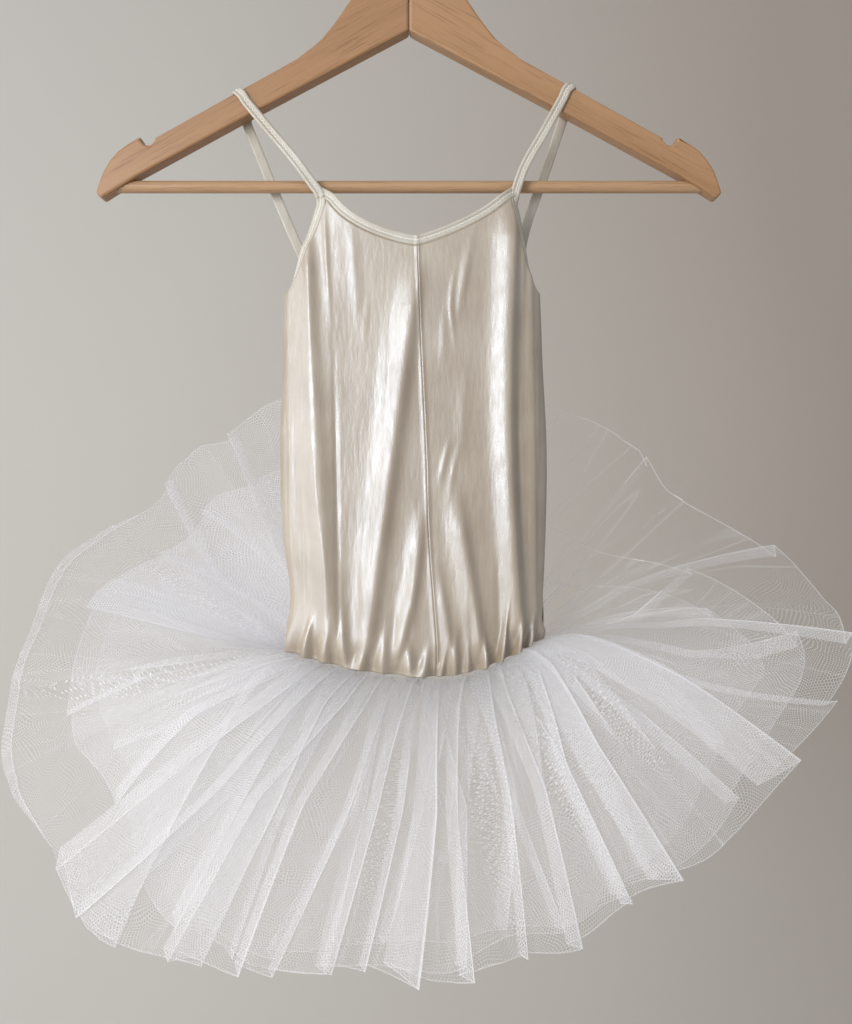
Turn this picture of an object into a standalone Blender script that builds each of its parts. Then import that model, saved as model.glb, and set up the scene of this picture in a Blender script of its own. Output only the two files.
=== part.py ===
"""Child's ballet tutu on a wooden hanger: satin camisole bodice and three layers of gathered net.

Lengths in the tables are millimetres. The origin is the inside of the hook's crown, where a rail
carries it. +Z is up, the front of the dress faces -Y, and left and right are as seen from the front.
"""
import math
from collections import namedtuple

import bmesh
import bpy
import numpy as np

MM = 0.001
SEAM_GAP = 0.3            # clearance kept between sewn pieces and at every seat
SIDES = {"left": -1, "right": 1}

# ---- hanger ----------------------------------------------------------------------------------
ARM_THICK = 14.0
ARM_ROUND = 1.6
NECK_TOP = -69.0
APEX = -114.0             # underside of the arms where they meet
BAR_HEIGHT = -222.0
BAR_RADIUS = 4.3
BAR_REACH = 206.0
WIRE_RADIUS = 1.7
HOOK_RADIUS = 23.0        # centre line of the hook's round part
HOOK_FOOT = -92.0
HOOK_SHANK = [(0, -75), (0, -62), (1.5, -54), (7, -46.5)]   # distance from the middle and height
HOOK_TURN = (-50, 205)    # first and last angle of the round part, in degrees
HOOK_STEPS = 20
SOCKET_START = 150.0      # from the middle to where the bar's sockets are clear of the arms
ROUNDED_FROM = 60         # edges sharper than this many degrees are rounded

# Neck curve and rounded tip of one arm, as distance from the middle and height.
NECK_CURVE = [(17, -70.5), (27, -76), (39, -90), (50, -106), (62, -121), (78, -134)]
TIP_CURVE = [(189, -189), (203, -198), (213, -211), (219, -228)]
NECK_STEPS = 9
TIP_STEPS = 7
NOTCH = {"middle": 182.5, "height": -189.5, "radius": 5.0, "steps": 7}
ARM_UNDERSIDE = [(215, -231.5), (190, -216), (112, -173.4)]

# ---- bodice ----------------------------------------------------------------------------------
CLOTH = 1.2               # thickness of the satin wall
SECTION_POWER = 2.6       # squareness of the hanging tube's cross-section
Section = namedtuple("Section", "height left right front back seam")
SECTIONS = [
    Section(-565, -89, 93, 25, 22, 19),
    Section(-541, -87, 92, 25, 22, 19),
    Section(-513, -83, 94, 25, 22, 17),
    Section(-470, -88, 96, 25, 22, 14),
    Section(-410, -90, 97, 24, 22, 12),
    Section(-345, -88, 94, 22, 20, 9),
    Section(-292, -86, 92, 20, 18, 7),
    Section(-262, -79, 90, 18, 16, 6),
    Section(-225, -66, 83, 17, 14, 6),
]
WAIST_SIDE = {-1: -548.0, 1: -541.0}
WAIST_FRONT = -563.5
WAIST_BACK = -552.0
UNDERARM = -298.0
NECK_LOW = -267.0
NECK_CORNER = -233.5
NECK_POWER = {-1: 1.9, 1: 1.2}                   # the neckline sags on the left, and is taut on the right
CORNER_SHARE = {-1: 0.7, 1: 0.68}                # front corner, between centre seam and side seam
BACK_NECK_LOW = -318.0
BACK_CORNER = -284.0
BACK_CORNER_COLUMN = 17

# A ridge (or a trough, with a negative rise) down a panel: the height where it starts, its place
# across at three heights from there to the waist, its width at both ends, and its rise.
Fold = namedtuple("Fold", "top x_top x_middle x_low width_top width_low rise")
FRONT_FOLDS = [
    Fold(-246, -73, -66, -63, 7, 9, 3.4),
    Fold(-246, -60, -49, -45, 4, 5, -3.6),
    Fold(-290, -9, -25, -40, 11, 6, 4.6),
    Fold(-400, 4, -6, -19, 6, 5, 3.0),
    Fold(-470, 16, 24, 33, 5, 4.5, 2.8),
    Fold(-420, 28, 36, 51, 7, 6, 3.6),
    Fold(-235, 63, 58, 70, 10, 5, 4.6),
    Fold(-240, 77, 80, 84, 3, 3, 1.2),
]
BACK_FOLDS = [
    Fold(-284, -66, -60, -62, 7, 8, 3.4),
    Fold(-330, -30, -22, -34, 10, 6, 4.0),
    Fold(-400, 2, -4, 6, 6, 5, 3.0),
    Fold(-340, 34, 30, 22, 9, 6, 3.8),
    Fold(-284, 64, 60, 66, 8, 7, 3.6),
]
FOLD_FADE = 35.0          # length over which a fold dies out at its upper end
WAIST_PULL = {"share": 0.6, "height": 14.0}      # how far the waist seam draws the folds in
SEAM_RIDGE = {"rise": 0.9, "width": 2.0}
GATHERS_PER_HALF = 13
GATHER = {"rise": 1.1, "height": 15.0}

PANEL_COLUMNS = 2 * GATHERS_PER_HALF      # from the middle to a side
FRONT_ROWS = [0.0, 0.04, 0.1, 0.25, 0.53, 0.8]   # as shares of the way up to the underarm
BACK_ROWS = [0.0, 0.04, 0.1, 0.28, 0.52, 0.76, 1.0]
ARMHOLE_STEPS = 5
COLUMN_CROWDING = 0.7     # how much closer the columns stand round the side than across the middle

# ---- bindings and straps ---------------------------------------------------------------------
BAND_WIDTH = 6.0
BAND_THICK = 1.8
EDGE_EASE = 0.15          # more room for a band beside a folded edge
EDGE_DROP = 4.0           # depth below a panel's edge at which its inner side is looked up
EDGE_INSET = 0.05         # the same, as a share of the way across
STRAP_STEPS = 8
# Way of a strap between a bodice corner and its arm: distance from the middle, depth and height.
StrapPoint = namedtuple("StrapPoint", "out depth height")
STRAP_FRONT = {
    "left": [StrapPoint(80, -10.7, -205), StrapPoint(100, -9.3, -181), StrapPoint(113, -8.5, -165.2)],
    "right": [StrapPoint(80, -10.7, -212), StrapPoint(94, -9.3, -186.8), StrapPoint(107, -8.5, -163)],
}
STRAP_BACK = {
    "left": [StrapPoint(115, 8.8, -176), StrapPoint(98, 9.3, -218), StrapPoint(81, 12.5, -258)],
    "right": [StrapPoint(110, 8.8, -170), StrapPoint(98, 9.3, -206), StrapPoint(83, 12.5, -250)],
}
STRAP_REST = {"left": 120.5, "right": 114.0}    # where each strap crosses its arm
STRAP_LEAN = 0.75         # how far a strap shifts along the arm for each mm that it rises
STRAP_CLEAR = 0.45        # room between a strap and its arm

# ---- net skirt -------------------------------------------------------------------------------
NET_WALL = 1.0
PLEATS = 36               # in each layer, all round
FRONT_CROWDING = 0.42     # how much closer the pleats stand at the front than at the back
PLEAT_RISE = 5.6
CREST_AT = 0.62           # share of a pleat's width at which it is highest
PLEAT_STEPS = (0.0, 0.31, CREST_AT, 0.81)
NET_ROWS = (0.0, 0.08, 0.2, 0.4, 0.68, 1.0)
ROOT_TUCK = 1.2           # how far a layer's gathered edge reaches in under the bodice
ROOT_STEP = 1.35          # from one layer's gathered edge to the next
LAYER_STEP = 15.0         # from one layer to the next at the hem
NET_DIP = 0.055           # how far the net drops first, for each mm that its hem rises
NET_SPRING = {"front": 30.0, "side": 52.0, "back": 36.0}   # how far the net stands straight out

# The hem of the top layer, in the order of a walk round the waist from the middle of the front.
Hem = namedtuple("Hem", "turn across depth height")
HEM = [
    Hem(0, 2, -117, -731),
    Hem(20, 60, -117, -720),
    Hem(40, 121, -107, -703),
    Hem(60, 187, -86, -671),
    Hem(75, 237, -65, -630),
    Hem(90, 293, -35, -550),
    Hem(105, 281, 5, -492),
    Hem(120, 226, 33, -455),
    Hem(140, 173, 48, -412),
    Hem(160, 100, 54, -376),
    Hem(180, 2, 56, -366),
    Hem(200, -92, 54, -373),
    Hem(220, -146, 46, -405),
    Hem(240, -184, 30, -438),
    Hem(255, -222, 0, -466),
    Hem(270, -268, -35, -537),
    Hem(285, -266, -60, -619),
    Hem(300, -222, -85, -671),
    Hem(320, -163, -106, -719),
    Hem(340, -82, -116, -729),
]
# Reach of each layer round the skirt, as a share of the way from the waist to the top layer's hem.
Reach = namedtuple("Reach", "turn top middle under")
REACH = [
    Reach(0, 1.0, 0.98, 0.95),
    Reach(60, 1.0, 0.97, 0.94),
    Reach(95, 1.0, 0.91, 0.82),
    Reach(135, 1.0, 0.76, 0.62),
    Reach(180, 1.0, 0.82, 0.7),
    Reach(225, 1.0, 0.9, 0.8),
    Reach(262, 1.0, 0.85, 0.77),
    Reach(290, 1.0, 0.84, 0.8),
    Reach(325, 1.0, 0.97, 0.94),
]
# Unevenness round the skirt: waves in a full turn, their size, the angle at which they start, and
# how far that angle shifts from one layer to the next.
Wave = namedtuple("Wave", "count size start shift")
PLEAT_DRIFT = [Wave(5, 0.3, 1, 0), Wave(11, 0.2, 0, 0), Wave(17, 0.1, 0, 0)]
PLEAT_SHARE = 0.62        # mean share of the full rise that a pleat has
PLEAT_UNEVEN = [Wave(7, 0.24, 0, 1), Wave(15, 0.2, 2, 0)]
HEM_UNEVEN = [Wave(5, 0.012, 0, 2), Wave(13, 0.01, 0, 0)]
# Each layer: how many steps it lies under the top one, and where its pleats start.
Layer = namedtuple("Layer", "name reach depth shift")
LAYERS = [
    Layer("tulle_top", "top", 0, 0.0),
    Layer("tulle_middle", "middle", 1, 0.4),
    Layer("tulle_under", "under", 2, 0.75),
]

COLOURS = {
    "satin": ((0.83, 0.77, 0.66), 0.32, 0.2),
    "net": ((0.86, 0.86, 0.88), 0.7, 0.0),
    "beech": ((0.58, 0.37, 0.21), 0.5, 0.0),
    "wire": ((0.62, 0.62, 0.64), 0.28, 1.0),
}


# ---- helpers ---------------------------------------------------------------------------------
def unit(vector):
    return vector / np.linalg.norm(vector)


def clear_scene():
    for item in list(bpy.data.objects):
        bpy.data.objects.remove(item, do_unlink=True)


def new_collection(name):
    group = bpy.data.collections.new(name)
    bpy.context.scene.collection.children.link(group)
    return group


def make_material(name):
    colour, roughness, metallic = COLOURS[name]
    material = bpy.data.materials.new(name)
    material.use_nodes = True
    shader = material.node_tree.nodes["Principled BSDF"]
    shader.inputs["Base Color"].default_value = (*colour, 1.0)
    shader.inputs["Roughness"].default_value = roughness
    shader.inputs["Metallic"].default_value = metallic
    return material


def through(knots, values, places, period=None):
    """Smooth curve through the values at the knots, read at the places."""
    knots = np.asarray(knots, float)
    values = np.asarray(values, float)
    if period:
        knots = np.concatenate([knots[-2:] - period, knots, knots[:2] + period])
        values = np.concatenate([values[-2:], values, values[:2]])
        places = np.mod(places, period)
    slopes = np.gradient(values, knots, axis=0)
    places = np.clip(places, knots[0], knots[-1])
    index = np.clip(np.searchsorted(knots, places, side="right") - 1, 0, len(knots) - 2)
    step = knots[index + 1] - knots[index]
    share = (places - knots[index]) / step
    if values.ndim > 1:
        share = np.asarray(share)[..., None]
        step = np.asarray(step)[..., None]
    return (
        (1 + 2 * share) * (1 - share) ** 2 * values[index]
        + share * (1 - share) ** 2 * step * slopes[index]
        + share ** 2 * (3 - 2 * share) * values[index + 1]
        + share ** 2 * (share - 1) * step * slopes[index + 1]
    )


def resample(rows, count):
    """Evenly numbered points on a smooth curve through the rows, by distance along them."""
    rows = np.asarray(rows, float)
    walk = np.concatenate([[0], np.cumsum(np.linalg.norm(np.diff(rows[:, :3], axis=0), axis=1))])
    return through(walk, rows, np.linspace(0, walk[-1], count))


def sheet_object(name, grid, thickness, offset, material, group, ring=False):
    """Open sheet through a grid of points, given its thickness. Rows run up, columns across."""
    columns, rows = grid.shape[0], grid.shape[1]
    mesh = bpy.data.meshes.new(name)
    faces = []
    for i in range(columns if ring else columns - 1):
        j = (i + 1) % columns
        for k in range(rows - 1):
            faces.append((i * rows + k, j * rows + k, j * rows + k + 1, i * rows + k + 1))
    mesh.from_pydata((grid.reshape(-1, 3) * MM).tolist(), [], faces)
    mesh.shade_smooth()
    item = bpy.data.objects.new(name, mesh)
    item.data.materials.append(material)
    group.objects.link(item)
    wall = item.modifiers.new("wall", "SOLIDIFY")
    wall.thickness = thickness * MM
    wall.offset = offset
    return item


def curve_to_mesh(curve_item, name, group):
    """Mesh object of a curve, its caps welded on."""
    mesh = bpy.data.meshes.new_from_object(
        curve_item.evaluated_get(bpy.context.evaluated_depsgraph_get()))
    work = bmesh.new()
    work.from_mesh(mesh)
    bmesh.ops.remove_doubles(work, verts=work.verts, dist=0.00001)
    work.to_mesh(mesh)
    work.free()
    item = bpy.data.objects.new(name, mesh)
    item.matrix_world = curve_item.matrix_world
    group.objects.link(item)
    bpy.data.objects.remove(curve_item, do_unlink=True)
    return item


def cylinder(name, radius, start, end, group, sides=20):
    """Round bar or cutter between two points."""
    start = np.asarray(start, float)
    end = np.asarray(end, float)
    work = bmesh.new()
    bmesh.ops.create_cone(work, cap_ends=True, segments=sides, radius1=radius * MM,
                          radius2=radius * MM, depth=np.linalg.norm(end - start) * MM)
    mesh = bpy.data.meshes.new(name)
    work.to_mesh(mesh)
    work.free()
    item = bpy.data.objects.new(name, mesh)
    item.location = (start + end) / 2 * MM
    if abs(end[0] - start[0]) > 0:
        item.rotation_euler = (0, math.pi / 2, 0)
    group.objects.link(item)
    return item


def hide_cutter(item):
    item.hide_render = True
    item.display_type = "WIRE"


def cut(item, cutter):
    boolean = item.modifiers.new("cut", "BOOLEAN")
    boolean.operation = "DIFFERENCE"
    boolean.object = cutter
    boolean.solver = "EXACT"


# ---- hanger ----------------------------------------------------------------------------------
def arm_outline():
    """Outline of the right arm: neck, top edge with its notch, tip, underside, mitre."""
    neck = resample([(x, z, 0) for x, z in NECK_CURVE], NECK_STEPS)[:, :2]
    tip = resample([(x, z, 0) for x, z in TIP_CURVE], TIP_STEPS)[:, :2]
    notch = []
    for angle in np.linspace(math.pi, 2 * math.pi, NOTCH["steps"]):
        notch.append((NOTCH["middle"] + NOTCH["radius"] * math.cos(angle),
                      NOTCH["height"] + NOTCH["radius"] * math.sin(angle)))
    middle = SEAM_GAP / 2
    points = [(middle, NECK_TOP)]
    points += [tuple(point) for point in neck]
    points += notch
    points += [tuple(point) for point in tip]
    points += ARM_UNDERSIDE
    points.append((middle, APEX))
    return points


def hanger_arm(side, material, group, cutters):
    sign = SIDES[side]
    curve = bpy.data.curves.new("arm_outline", "CURVE")
    curve.dimensions = "2D"
    curve.fill_mode = "BOTH"
    curve.extrude = ARM_THICK / 2 * MM
    spline = curve.splines.new("POLY")
    outline = arm_outline()
    spline.points.add(len(outline) - 1)
    for point, (x, z) in zip(spline.points, outline):
        point.co = (sign * x * MM, z * MM, 0, 1)
    spline.use_cyclic_u = True
    flat = bpy.data.objects.new("arm_outline", curve)
    flat.rotation_euler = (math.pi / 2, 0, 0)
    group.objects.link(flat)
    bpy.context.view_layer.update()
    arm = curve_to_mesh(flat, "hanger_arm_" + side, group)
    arm.data.materials.append(material)
    bevel = arm.modifiers.new("rounded", "BEVEL")
    bevel.width = ARM_ROUND * MM
    bevel.segments = 2
    bevel.use_clamp_overlap = False
    bevel.limit_method = "ANGLE"
    bevel.angle_limit = math.radians(ROUNDED_FROM)
    for cutter in cutters:
        cut(arm, cutter)
    return arm


def hook_path():
    """Centre line of the wire: foot in the neck, straight shank, round crown, open end."""
    middle = WIRE_RADIUS - HOOK_RADIUS
    points = [(0, 0, HOOK_FOOT)] + [(x, 0, z) for x, z in HOOK_SHANK]
    for angle in np.radians(np.linspace(*HOOK_TURN, HOOK_STEPS)):
        points.append((HOOK_RADIUS * math.cos(angle), 0, middle + HOOK_RADIUS * math.sin(angle)))
    return points


def hanger_hook(material, group):
    curve = bpy.data.curves.new("hanger_hook", "CURVE")
    curve.dimensions = "3D"
    curve.bevel_depth = WIRE_RADIUS * MM
    curve.bevel_resolution = 2
    curve.use_fill_caps = True
    spline = curve.splines.new("POLY")
    points = hook_path()
    spline.points.add(len(points) - 1)
    for point, place in zip(spline.points, points):
        point.co = (*(np.array(place) * MM), 1)
    curve.materials.append(material)
    group.objects.link(bpy.data.objects.new("hanger_hook", curve))


def build_hanger(materials, group, cutters_group):
    clear = SEAM_GAP
    foot_cutter = cylinder("hook_socket", WIRE_RADIUS + clear, (0, 0, HOOK_FOOT - clear),
                           (0, 0, NECK_TOP + ARM_THICK), cutters_group, sides=16)
    hide_cutter(foot_cutter)
    for side, sign in SIDES.items():
        socket = cylinder("bar_socket_" + side, BAR_RADIUS + clear, (sign * SOCKET_START, 0, BAR_HEIGHT),
                          (sign * (BAR_REACH + clear), 0, BAR_HEIGHT), cutters_group)
        hide_cutter(socket)
        hanger_arm(side, materials["beech"], group, [foot_cutter, socket])
    bar = cylinder("hanger_bar", BAR_RADIUS, (-BAR_REACH, 0, BAR_HEIGHT),
                   (BAR_REACH, 0, BAR_HEIGHT), group)
    bar.data.materials.append(materials["beech"])
    bar.data.shade_smooth()
    bar.data.set_sharp_from_angle(angle=math.radians(ROUNDED_FROM))
    hanger_hook(materials["wire"], group)


# ---- bodice ----------------------------------------------------------------------------------
def section_at(height):
    rows = sorted(SECTIONS)
    return Section(height, *through([row.height for row in rows], [row[1:] for row in rows], height))


def waist_height(sign, share, back):
    middle = WAIST_BACK if back else WAIST_FRONT
    side = WAIST_SIDE[sign]
    return side + (middle - side) * math.cos(share * math.pi / 2) ** 2


def fold_rise(x, height, folds):
    total = 0.0
    for fold in folds:
        down = (fold.top - height) / (fold.top - WAIST_FRONT)
        if down <= 0:
            continue
        line = through([0, 0.5, 1], [fold.x_top, fold.x_middle, fold.x_low], down)
        width = fold.width_top + (fold.width_low - fold.width_top) * down
        fade = min(1.0, (fold.top - height) / FOLD_FADE)
        total += fold.rise * fade * math.exp(-((x - line) / width) ** 2)
    return total


def skin(sign, share, height, back):
    """Point on the bodice's outer face, and the way it faces, at a share from middle to side."""
    section = section_at(height)
    edge = section.left if sign < 0 else section.right
    centre = (section.left + section.right) / 2
    start = centre if back else section.seam + sign * SEAM_GAP / 2
    even = (1 - COLUMN_CROWDING) * share
    x = start + (edge - start) * (even + COLUMN_CROWDING * math.sin(share * math.pi / 2))
    half = section.right - centre
    across = min(1.0, abs(x - centre) / half)
    depth = section.back if back else section.front
    forward = (1 - across ** SECTION_POWER) ** (1 / SECTION_POWER)
    way = 1 if back else -1
    point = np.array([x, way * (SEAM_GAP / 2 + depth * forward), height])
    facing = unit(np.array([
        math.copysign(across ** (SECTION_POWER - 1), x - centre) / half,
        way * forward ** (SECTION_POWER - 1) / depth, 0]))
    return point, facing


def cloth_point(sign, share, height, back):
    """The outer face with its folds, the raised centre seam and the gathers above the waist."""
    point, facing = skin(sign, share, height, back)
    rise = fold_rise(point[0], height, BACK_FOLDS if back else FRONT_FOLDS)
    if not back:
        away = abs(point[0] - section_at(height).seam)
        rise += SEAM_RIDGE["rise"] * math.exp(-(away / SEAM_RIDGE["width"]) ** 2)
    above_waist = height - waist_height(sign, share, back)
    rise *= 1 - WAIST_PULL["share"] * math.exp(-(above_waist / WAIST_PULL["height"]) ** 2)
    above = above_waist / GATHER["height"]
    wave = math.cos(2 * math.pi * GATHERS_PER_HALF * share)
    rise += GATHER["rise"] * wave * math.exp(-above ** 2)
    return point + facing * rise, facing


def armhole_share(sign, height):
    """Share from centre seam to side seam at which the front armhole cuts this height."""
    if height <= UNDERARM:
        return 1.0
    left_over = 1 - (height - UNDERARM) / (NECK_CORNER - UNDERARM)
    return 1 - (1 - CORNER_SHARE[sign]) * math.sqrt(1 - left_over ** 2)


def front_levels(sign):
    """Rows of a front panel, as shares of the side edge, from the waist to the neck corner."""
    low = WAIST_SIDE[sign]
    whole = NECK_CORNER - low
    underarm = (UNDERARM - low) / whole
    rows = [row * underarm for row in FRONT_ROWS]
    rows.append(underarm)
    for step in range(1, ARMHOLE_STEPS + 1):
        turned = 1 - math.cos(step / ARMHOLE_STEPS * math.pi / 2)
        rows.append(underarm + (1 - underarm) * turned)
    return rows


def neck_height(sign, across):
    return NECK_LOW + (NECK_CORNER - NECK_LOW) * across ** NECK_POWER[sign]


def front_place(sign, across, level):
    """Share and height on the front panel of a place across it and up it, both from 0 to 1."""
    edge = armhole_share(sign, WAIST_SIDE[sign] + (NECK_CORNER - WAIST_SIDE[sign]) * level)
    share = across * edge
    low = waist_height(sign, share, False)
    return share, low + (neck_height(sign, across) - low) * level


def front_panel(side, material, group):
    sign = SIDES[side]
    columns = [column / PANEL_COLUMNS for column in range(PANEL_COLUMNS + 1)]
    grid = []
    for across in columns:
        places = [front_place(sign, across, level) for level in front_levels(sign)]
        grid.append([cloth_point(sign, share, height, False)[0] for share, height in places])
    sheet_object("bodice_front_" + side, np.array(grid), CLOTH, sign, material, group)


def back_top(share):
    """Upper edge of the back: neckline inside the corner, armhole outside it."""
    corner = BACK_CORNER_COLUMN / PANEL_COLUMNS
    if share <= corner:
        return BACK_NECK_LOW + (BACK_CORNER - BACK_NECK_LOW) * (share / corner) ** 2
    outward = (1 - share) / (1 - corner)
    return UNDERARM + (BACK_CORNER - UNDERARM) * (1 - math.sqrt(1 - outward ** 2))


def back_panel(material, group):
    grid = []
    for column in range(-PANEL_COLUMNS, PANEL_COLUMNS + 1):
        sign = -1 if column < 0 else 1
        share = abs(column) / PANEL_COLUMNS
        low = waist_height(sign, share, True)
        heights = [low + (back_top(share) - low) * row for row in BACK_ROWS]
        grid.append([cloth_point(sign, share, height, True)[0] for height in heights])
    sheet_object("bodice_back", np.array(grid), CLOTH, -1, material, group)


# ---- bindings and straps ---------------------------------------------------------------------
def band(name, rows, material, group):
    """Flat band along rows of place and direction across."""
    grid = []
    for row in rows:
        across = unit(row[3:]) * BAND_WIDTH / 2
        grid.append([row[:3] - across, row[:3] + across])
    sheet_object(name, np.array(grid), BAND_THICK, 0, material, group)


def beside_edge(edge, inside):
    """Rows of a band sewn along a panel's edge: the same points, moved out past the seam.

    edge and inside are lists of (point, facing): the panel's edge and a line just inside it.
    """
    rows = []
    for i, (point, facing) in enumerate(edge):
        ahead = edge[min(i + 1, len(edge) - 1)][0] - edge[max(i - 1, 0)][0]
        out = unit(np.cross(ahead, facing))
        out *= math.copysign(1, np.dot(out, point - inside[i][0]))
        middle = point + out * (BAND_WIDTH / 2 + SEAM_GAP + EDGE_EASE) - facing * CLOTH / 2
        rows.append(np.concatenate([middle, out]))
    return rows


def armhole_rows(sign):
    """Binding round the armhole, from the front corner by the underarm to the back corner."""
    edge = []
    inside = []
    for level in reversed(front_levels(sign)[-ARMHOLE_STEPS - 1:]):
        share, height = front_place(sign, 1, level)
        edge.append(cloth_point(sign, share, height, False))
        inside.append(cloth_point(sign, share - EDGE_INSET, height - EDGE_DROP, False))
    for column in range(PANEL_COLUMNS - 1, BACK_CORNER_COLUMN - 1, -1):
        share = column / PANEL_COLUMNS
        height = back_top(share)
        edge.append(cloth_point(sign, share, height, True))
        inside.append(cloth_point(sign, share, height - EDGE_DROP, True))
    return beside_edge(edge, inside)


def straight_run(side, points, way):
    """Rows of a strap that runs flat up the front of its arm, or down the back of it."""
    rows = []
    for i, point in enumerate(points):
        ahead = points[min(i + 1, len(points) - 1)] - points[max(i - 1, 0)]
        rows.append(np.array([*point, -ahead[2] * way * SIDES[side], 0, ahead[0] * way * SIDES[side]]))
    return rows


def over_the_arm(side):
    """Rows of a strap where it bends over its arm, front to back, lying along the arm's top."""
    sign = SIDES[side]
    start = np.array(NECK_CURVE[-1])
    slope = (start[1] - NOTCH["height"]) / (NOTCH["middle"] - NOTCH["radius"] - start[0])
    slant = math.hypot(1, slope)
    clear = BAND_THICK / 2 + STRAP_CLEAR
    bend = ARM_ROUND + clear
    rows = []
    for way, turns in ((-1, (0, 45, 90)), (1, (90, 45, 0))):
        for turn in turns:
            angle = math.radians(turn)
            depth = way * (ARM_THICK / 2 - ARM_ROUND + bend * math.cos(angle))
            lift = (bend * math.sin(angle) - ARM_ROUND) * slant
            out = STRAP_REST[side] + STRAP_LEAN * (lift - clear)
            top = start[1] - slope * (out - start[0])
            rows.append(np.array([sign * out, depth, top + lift, sign, 0, -slope]))
    return rows


def strap_rows(side, front_end, back_end):
    sign = SIDES[side]
    front = [np.array([sign * p.out, p.depth, p.height]) for p in STRAP_FRONT[side]]
    back = [np.array([sign * p.out, p.depth, p.height]) for p in STRAP_BACK[side]]
    front = straight_run(side, resample([front_end] + front, STRAP_STEPS), -1)
    back = straight_run(side, resample(back + [back_end], STRAP_STEPS), 1)
    return [*front, *over_the_arm(side), *back]


def armhole_and_strap(side, material, group):
    """One length of binding round the armhole, and the strap that runs on from its two ends."""
    sign = SIDES[side]
    armhole = armhole_rows(sign)
    band("armhole_binding_" + side, armhole, material, group)
    ends = []
    for row, goal in ((armhole[0], STRAP_FRONT[side][0]), (armhole[-1], STRAP_BACK[side][-1])):
        end = row[:3]
        target = np.array([sign * goal.out, goal.depth, goal.height])
        ends.append(end + unit(target - end) * (BAND_WIDTH / 2 + SEAM_GAP))
    band("strap_" + side, strap_rows(side, *ends), material, group)


def neck_edge(sign, across, back):
    """Share and height of a place on the neckline, from the middle to the corner."""
    if back:
        share = across * BACK_CORNER_COLUMN / PANEL_COLUMNS
        return share, back_top(share)
    return across * CORNER_SHARE[sign], neck_height(sign, across)


def neck_bindings(material, group):
    half = PANEL_COLUMNS // 2
    for name, back in (("neck_binding_front", False), ("neck_binding_back", True)):
        edge = []
        inside = []
        for step in range(-half, half + 1):
            sign = -1 if step < 0 else 1
            share, height = neck_edge(sign, abs(step) / half, back)
            edge.append(cloth_point(sign, share, height, back))
            inside.append(cloth_point(sign, share, height - EDGE_DROP, back))
        band(name, beside_edge(edge, inside), material, group)


# ---- net skirt -------------------------------------------------------------------------------
def waist_point(turn):
    """Point of the waist seam, and the way straight out from it, at a turn from the front."""
    turn = (turn + 180) % 360 - 180
    sign = -1 if turn < 0 else 1
    back = abs(turn) > 90
    share = (180 - abs(turn)) / 90 if back else abs(turn) / 90
    return skin(sign, share, waist_height(sign, share, back), back)


def spring_at(turn):
    knots = [0, 90, 180, 270]
    values = [NET_SPRING["front"], NET_SPRING["side"], NET_SPRING["back"], NET_SPRING["side"]]
    return through(knots, values, turn, 360)


def net_point(turn, along):
    """Middle surface of the top layer before it is pleated: out from the waist, then to the hem."""
    seam, out = waist_point(turn)
    root = seam - out * ROOT_TUCK - np.array([0, 0, SEAM_GAP + NET_WALL / 2])
    hem = through([row.turn for row in HEM], [row[1:] for row in HEM], turn, 360)
    dip = NET_DIP * max(0.0, hem[2] - seam[2])
    stand = seam + out * spring_at(turn) - np.array([0, 0, dip])
    return root * (1 - along) ** 2 + stand * 2 * along * (1 - along) + hem * along ** 2


def net_facing(turn, along):
    """The way the net's upper side faces."""
    small = 0.01
    along_way = net_point(turn, along + small) - net_point(turn, along - small)
    round_way = net_point(turn + 1, along) - net_point(turn - 1, along)
    return -unit(np.cross(round_way, along_way))


def unevenness(waves, turn, depth=0):
    total = 0.0
    for wave in waves:
        start = wave.start + wave.shift * depth
        total += wave.size * math.sin(wave.count * math.radians(turn) + start)
    return total


def pleat_phase(turn):
    """Number of pleats passed on the way round to a turn."""
    crowding = FRONT_CROWDING * math.sin(math.radians(turn)) / (2 * math.pi)
    return PLEATS * (turn / 360 + crowding) + unevenness(PLEAT_DRIFT, turn)


def pleat_turns(shift):
    """Turns at which the columns of a layer stand, some to each pleat."""
    turns = np.linspace(-20, 380, 2001)       # a little over a full turn, to look phases up in
    phases = [pleat_phase(turn) for turn in turns]
    wanted = [pleat + shift + step for pleat in range(PLEATS) for step in PLEAT_STEPS]
    return wanted, np.interp(wanted, phases, turns)


def pleat_height(phase):
    """Height across one pleat, from -1 in the trough to 1 on the crest, steeper behind it."""
    place = phase % 1
    if place < CREST_AT:
        return -math.cos(math.pi * place / CREST_AT)
    return math.cos(math.pi * (place - CREST_AT) / (1 - CREST_AT))


def pleat_strength(turn, layer):
    """Share of the full rise, uneven round the skirt."""
    return PLEAT_SHARE + unevenness(PLEAT_UNEVEN, turn, layer.depth)


def hem_length(turn, layer):
    """Share of the way to the hem, with the small unevenness of a raw cut edge."""
    reach = [getattr(row, layer.reach) for row in REACH]
    share = through([row.turn for row in REACH], reach, turn, 360)
    return share * (1 + unevenness(HEM_UNEVEN, turn, layer.depth))


def net_layer(layer, material, group):
    phases, turns = pleat_turns(layer.shift)
    grid = []
    for phase, turn in zip(phases, turns):
        rise = PLEAT_RISE * pleat_strength(turn, layer) * pleat_height(phase - layer.shift)
        column = []
        for row in NET_ROWS:
            along = row * hem_length(turn, layer)
            under = layer.depth * (ROOT_STEP + (LAYER_STEP - ROOT_STEP) * along)
            column.append(net_point(turn, along) + net_facing(turn, along) * (rise * along - under))
        grid.append(column)
    sheet_object(layer.name, np.array(grid), NET_WALL, 0, material, group, ring=True)


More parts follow.
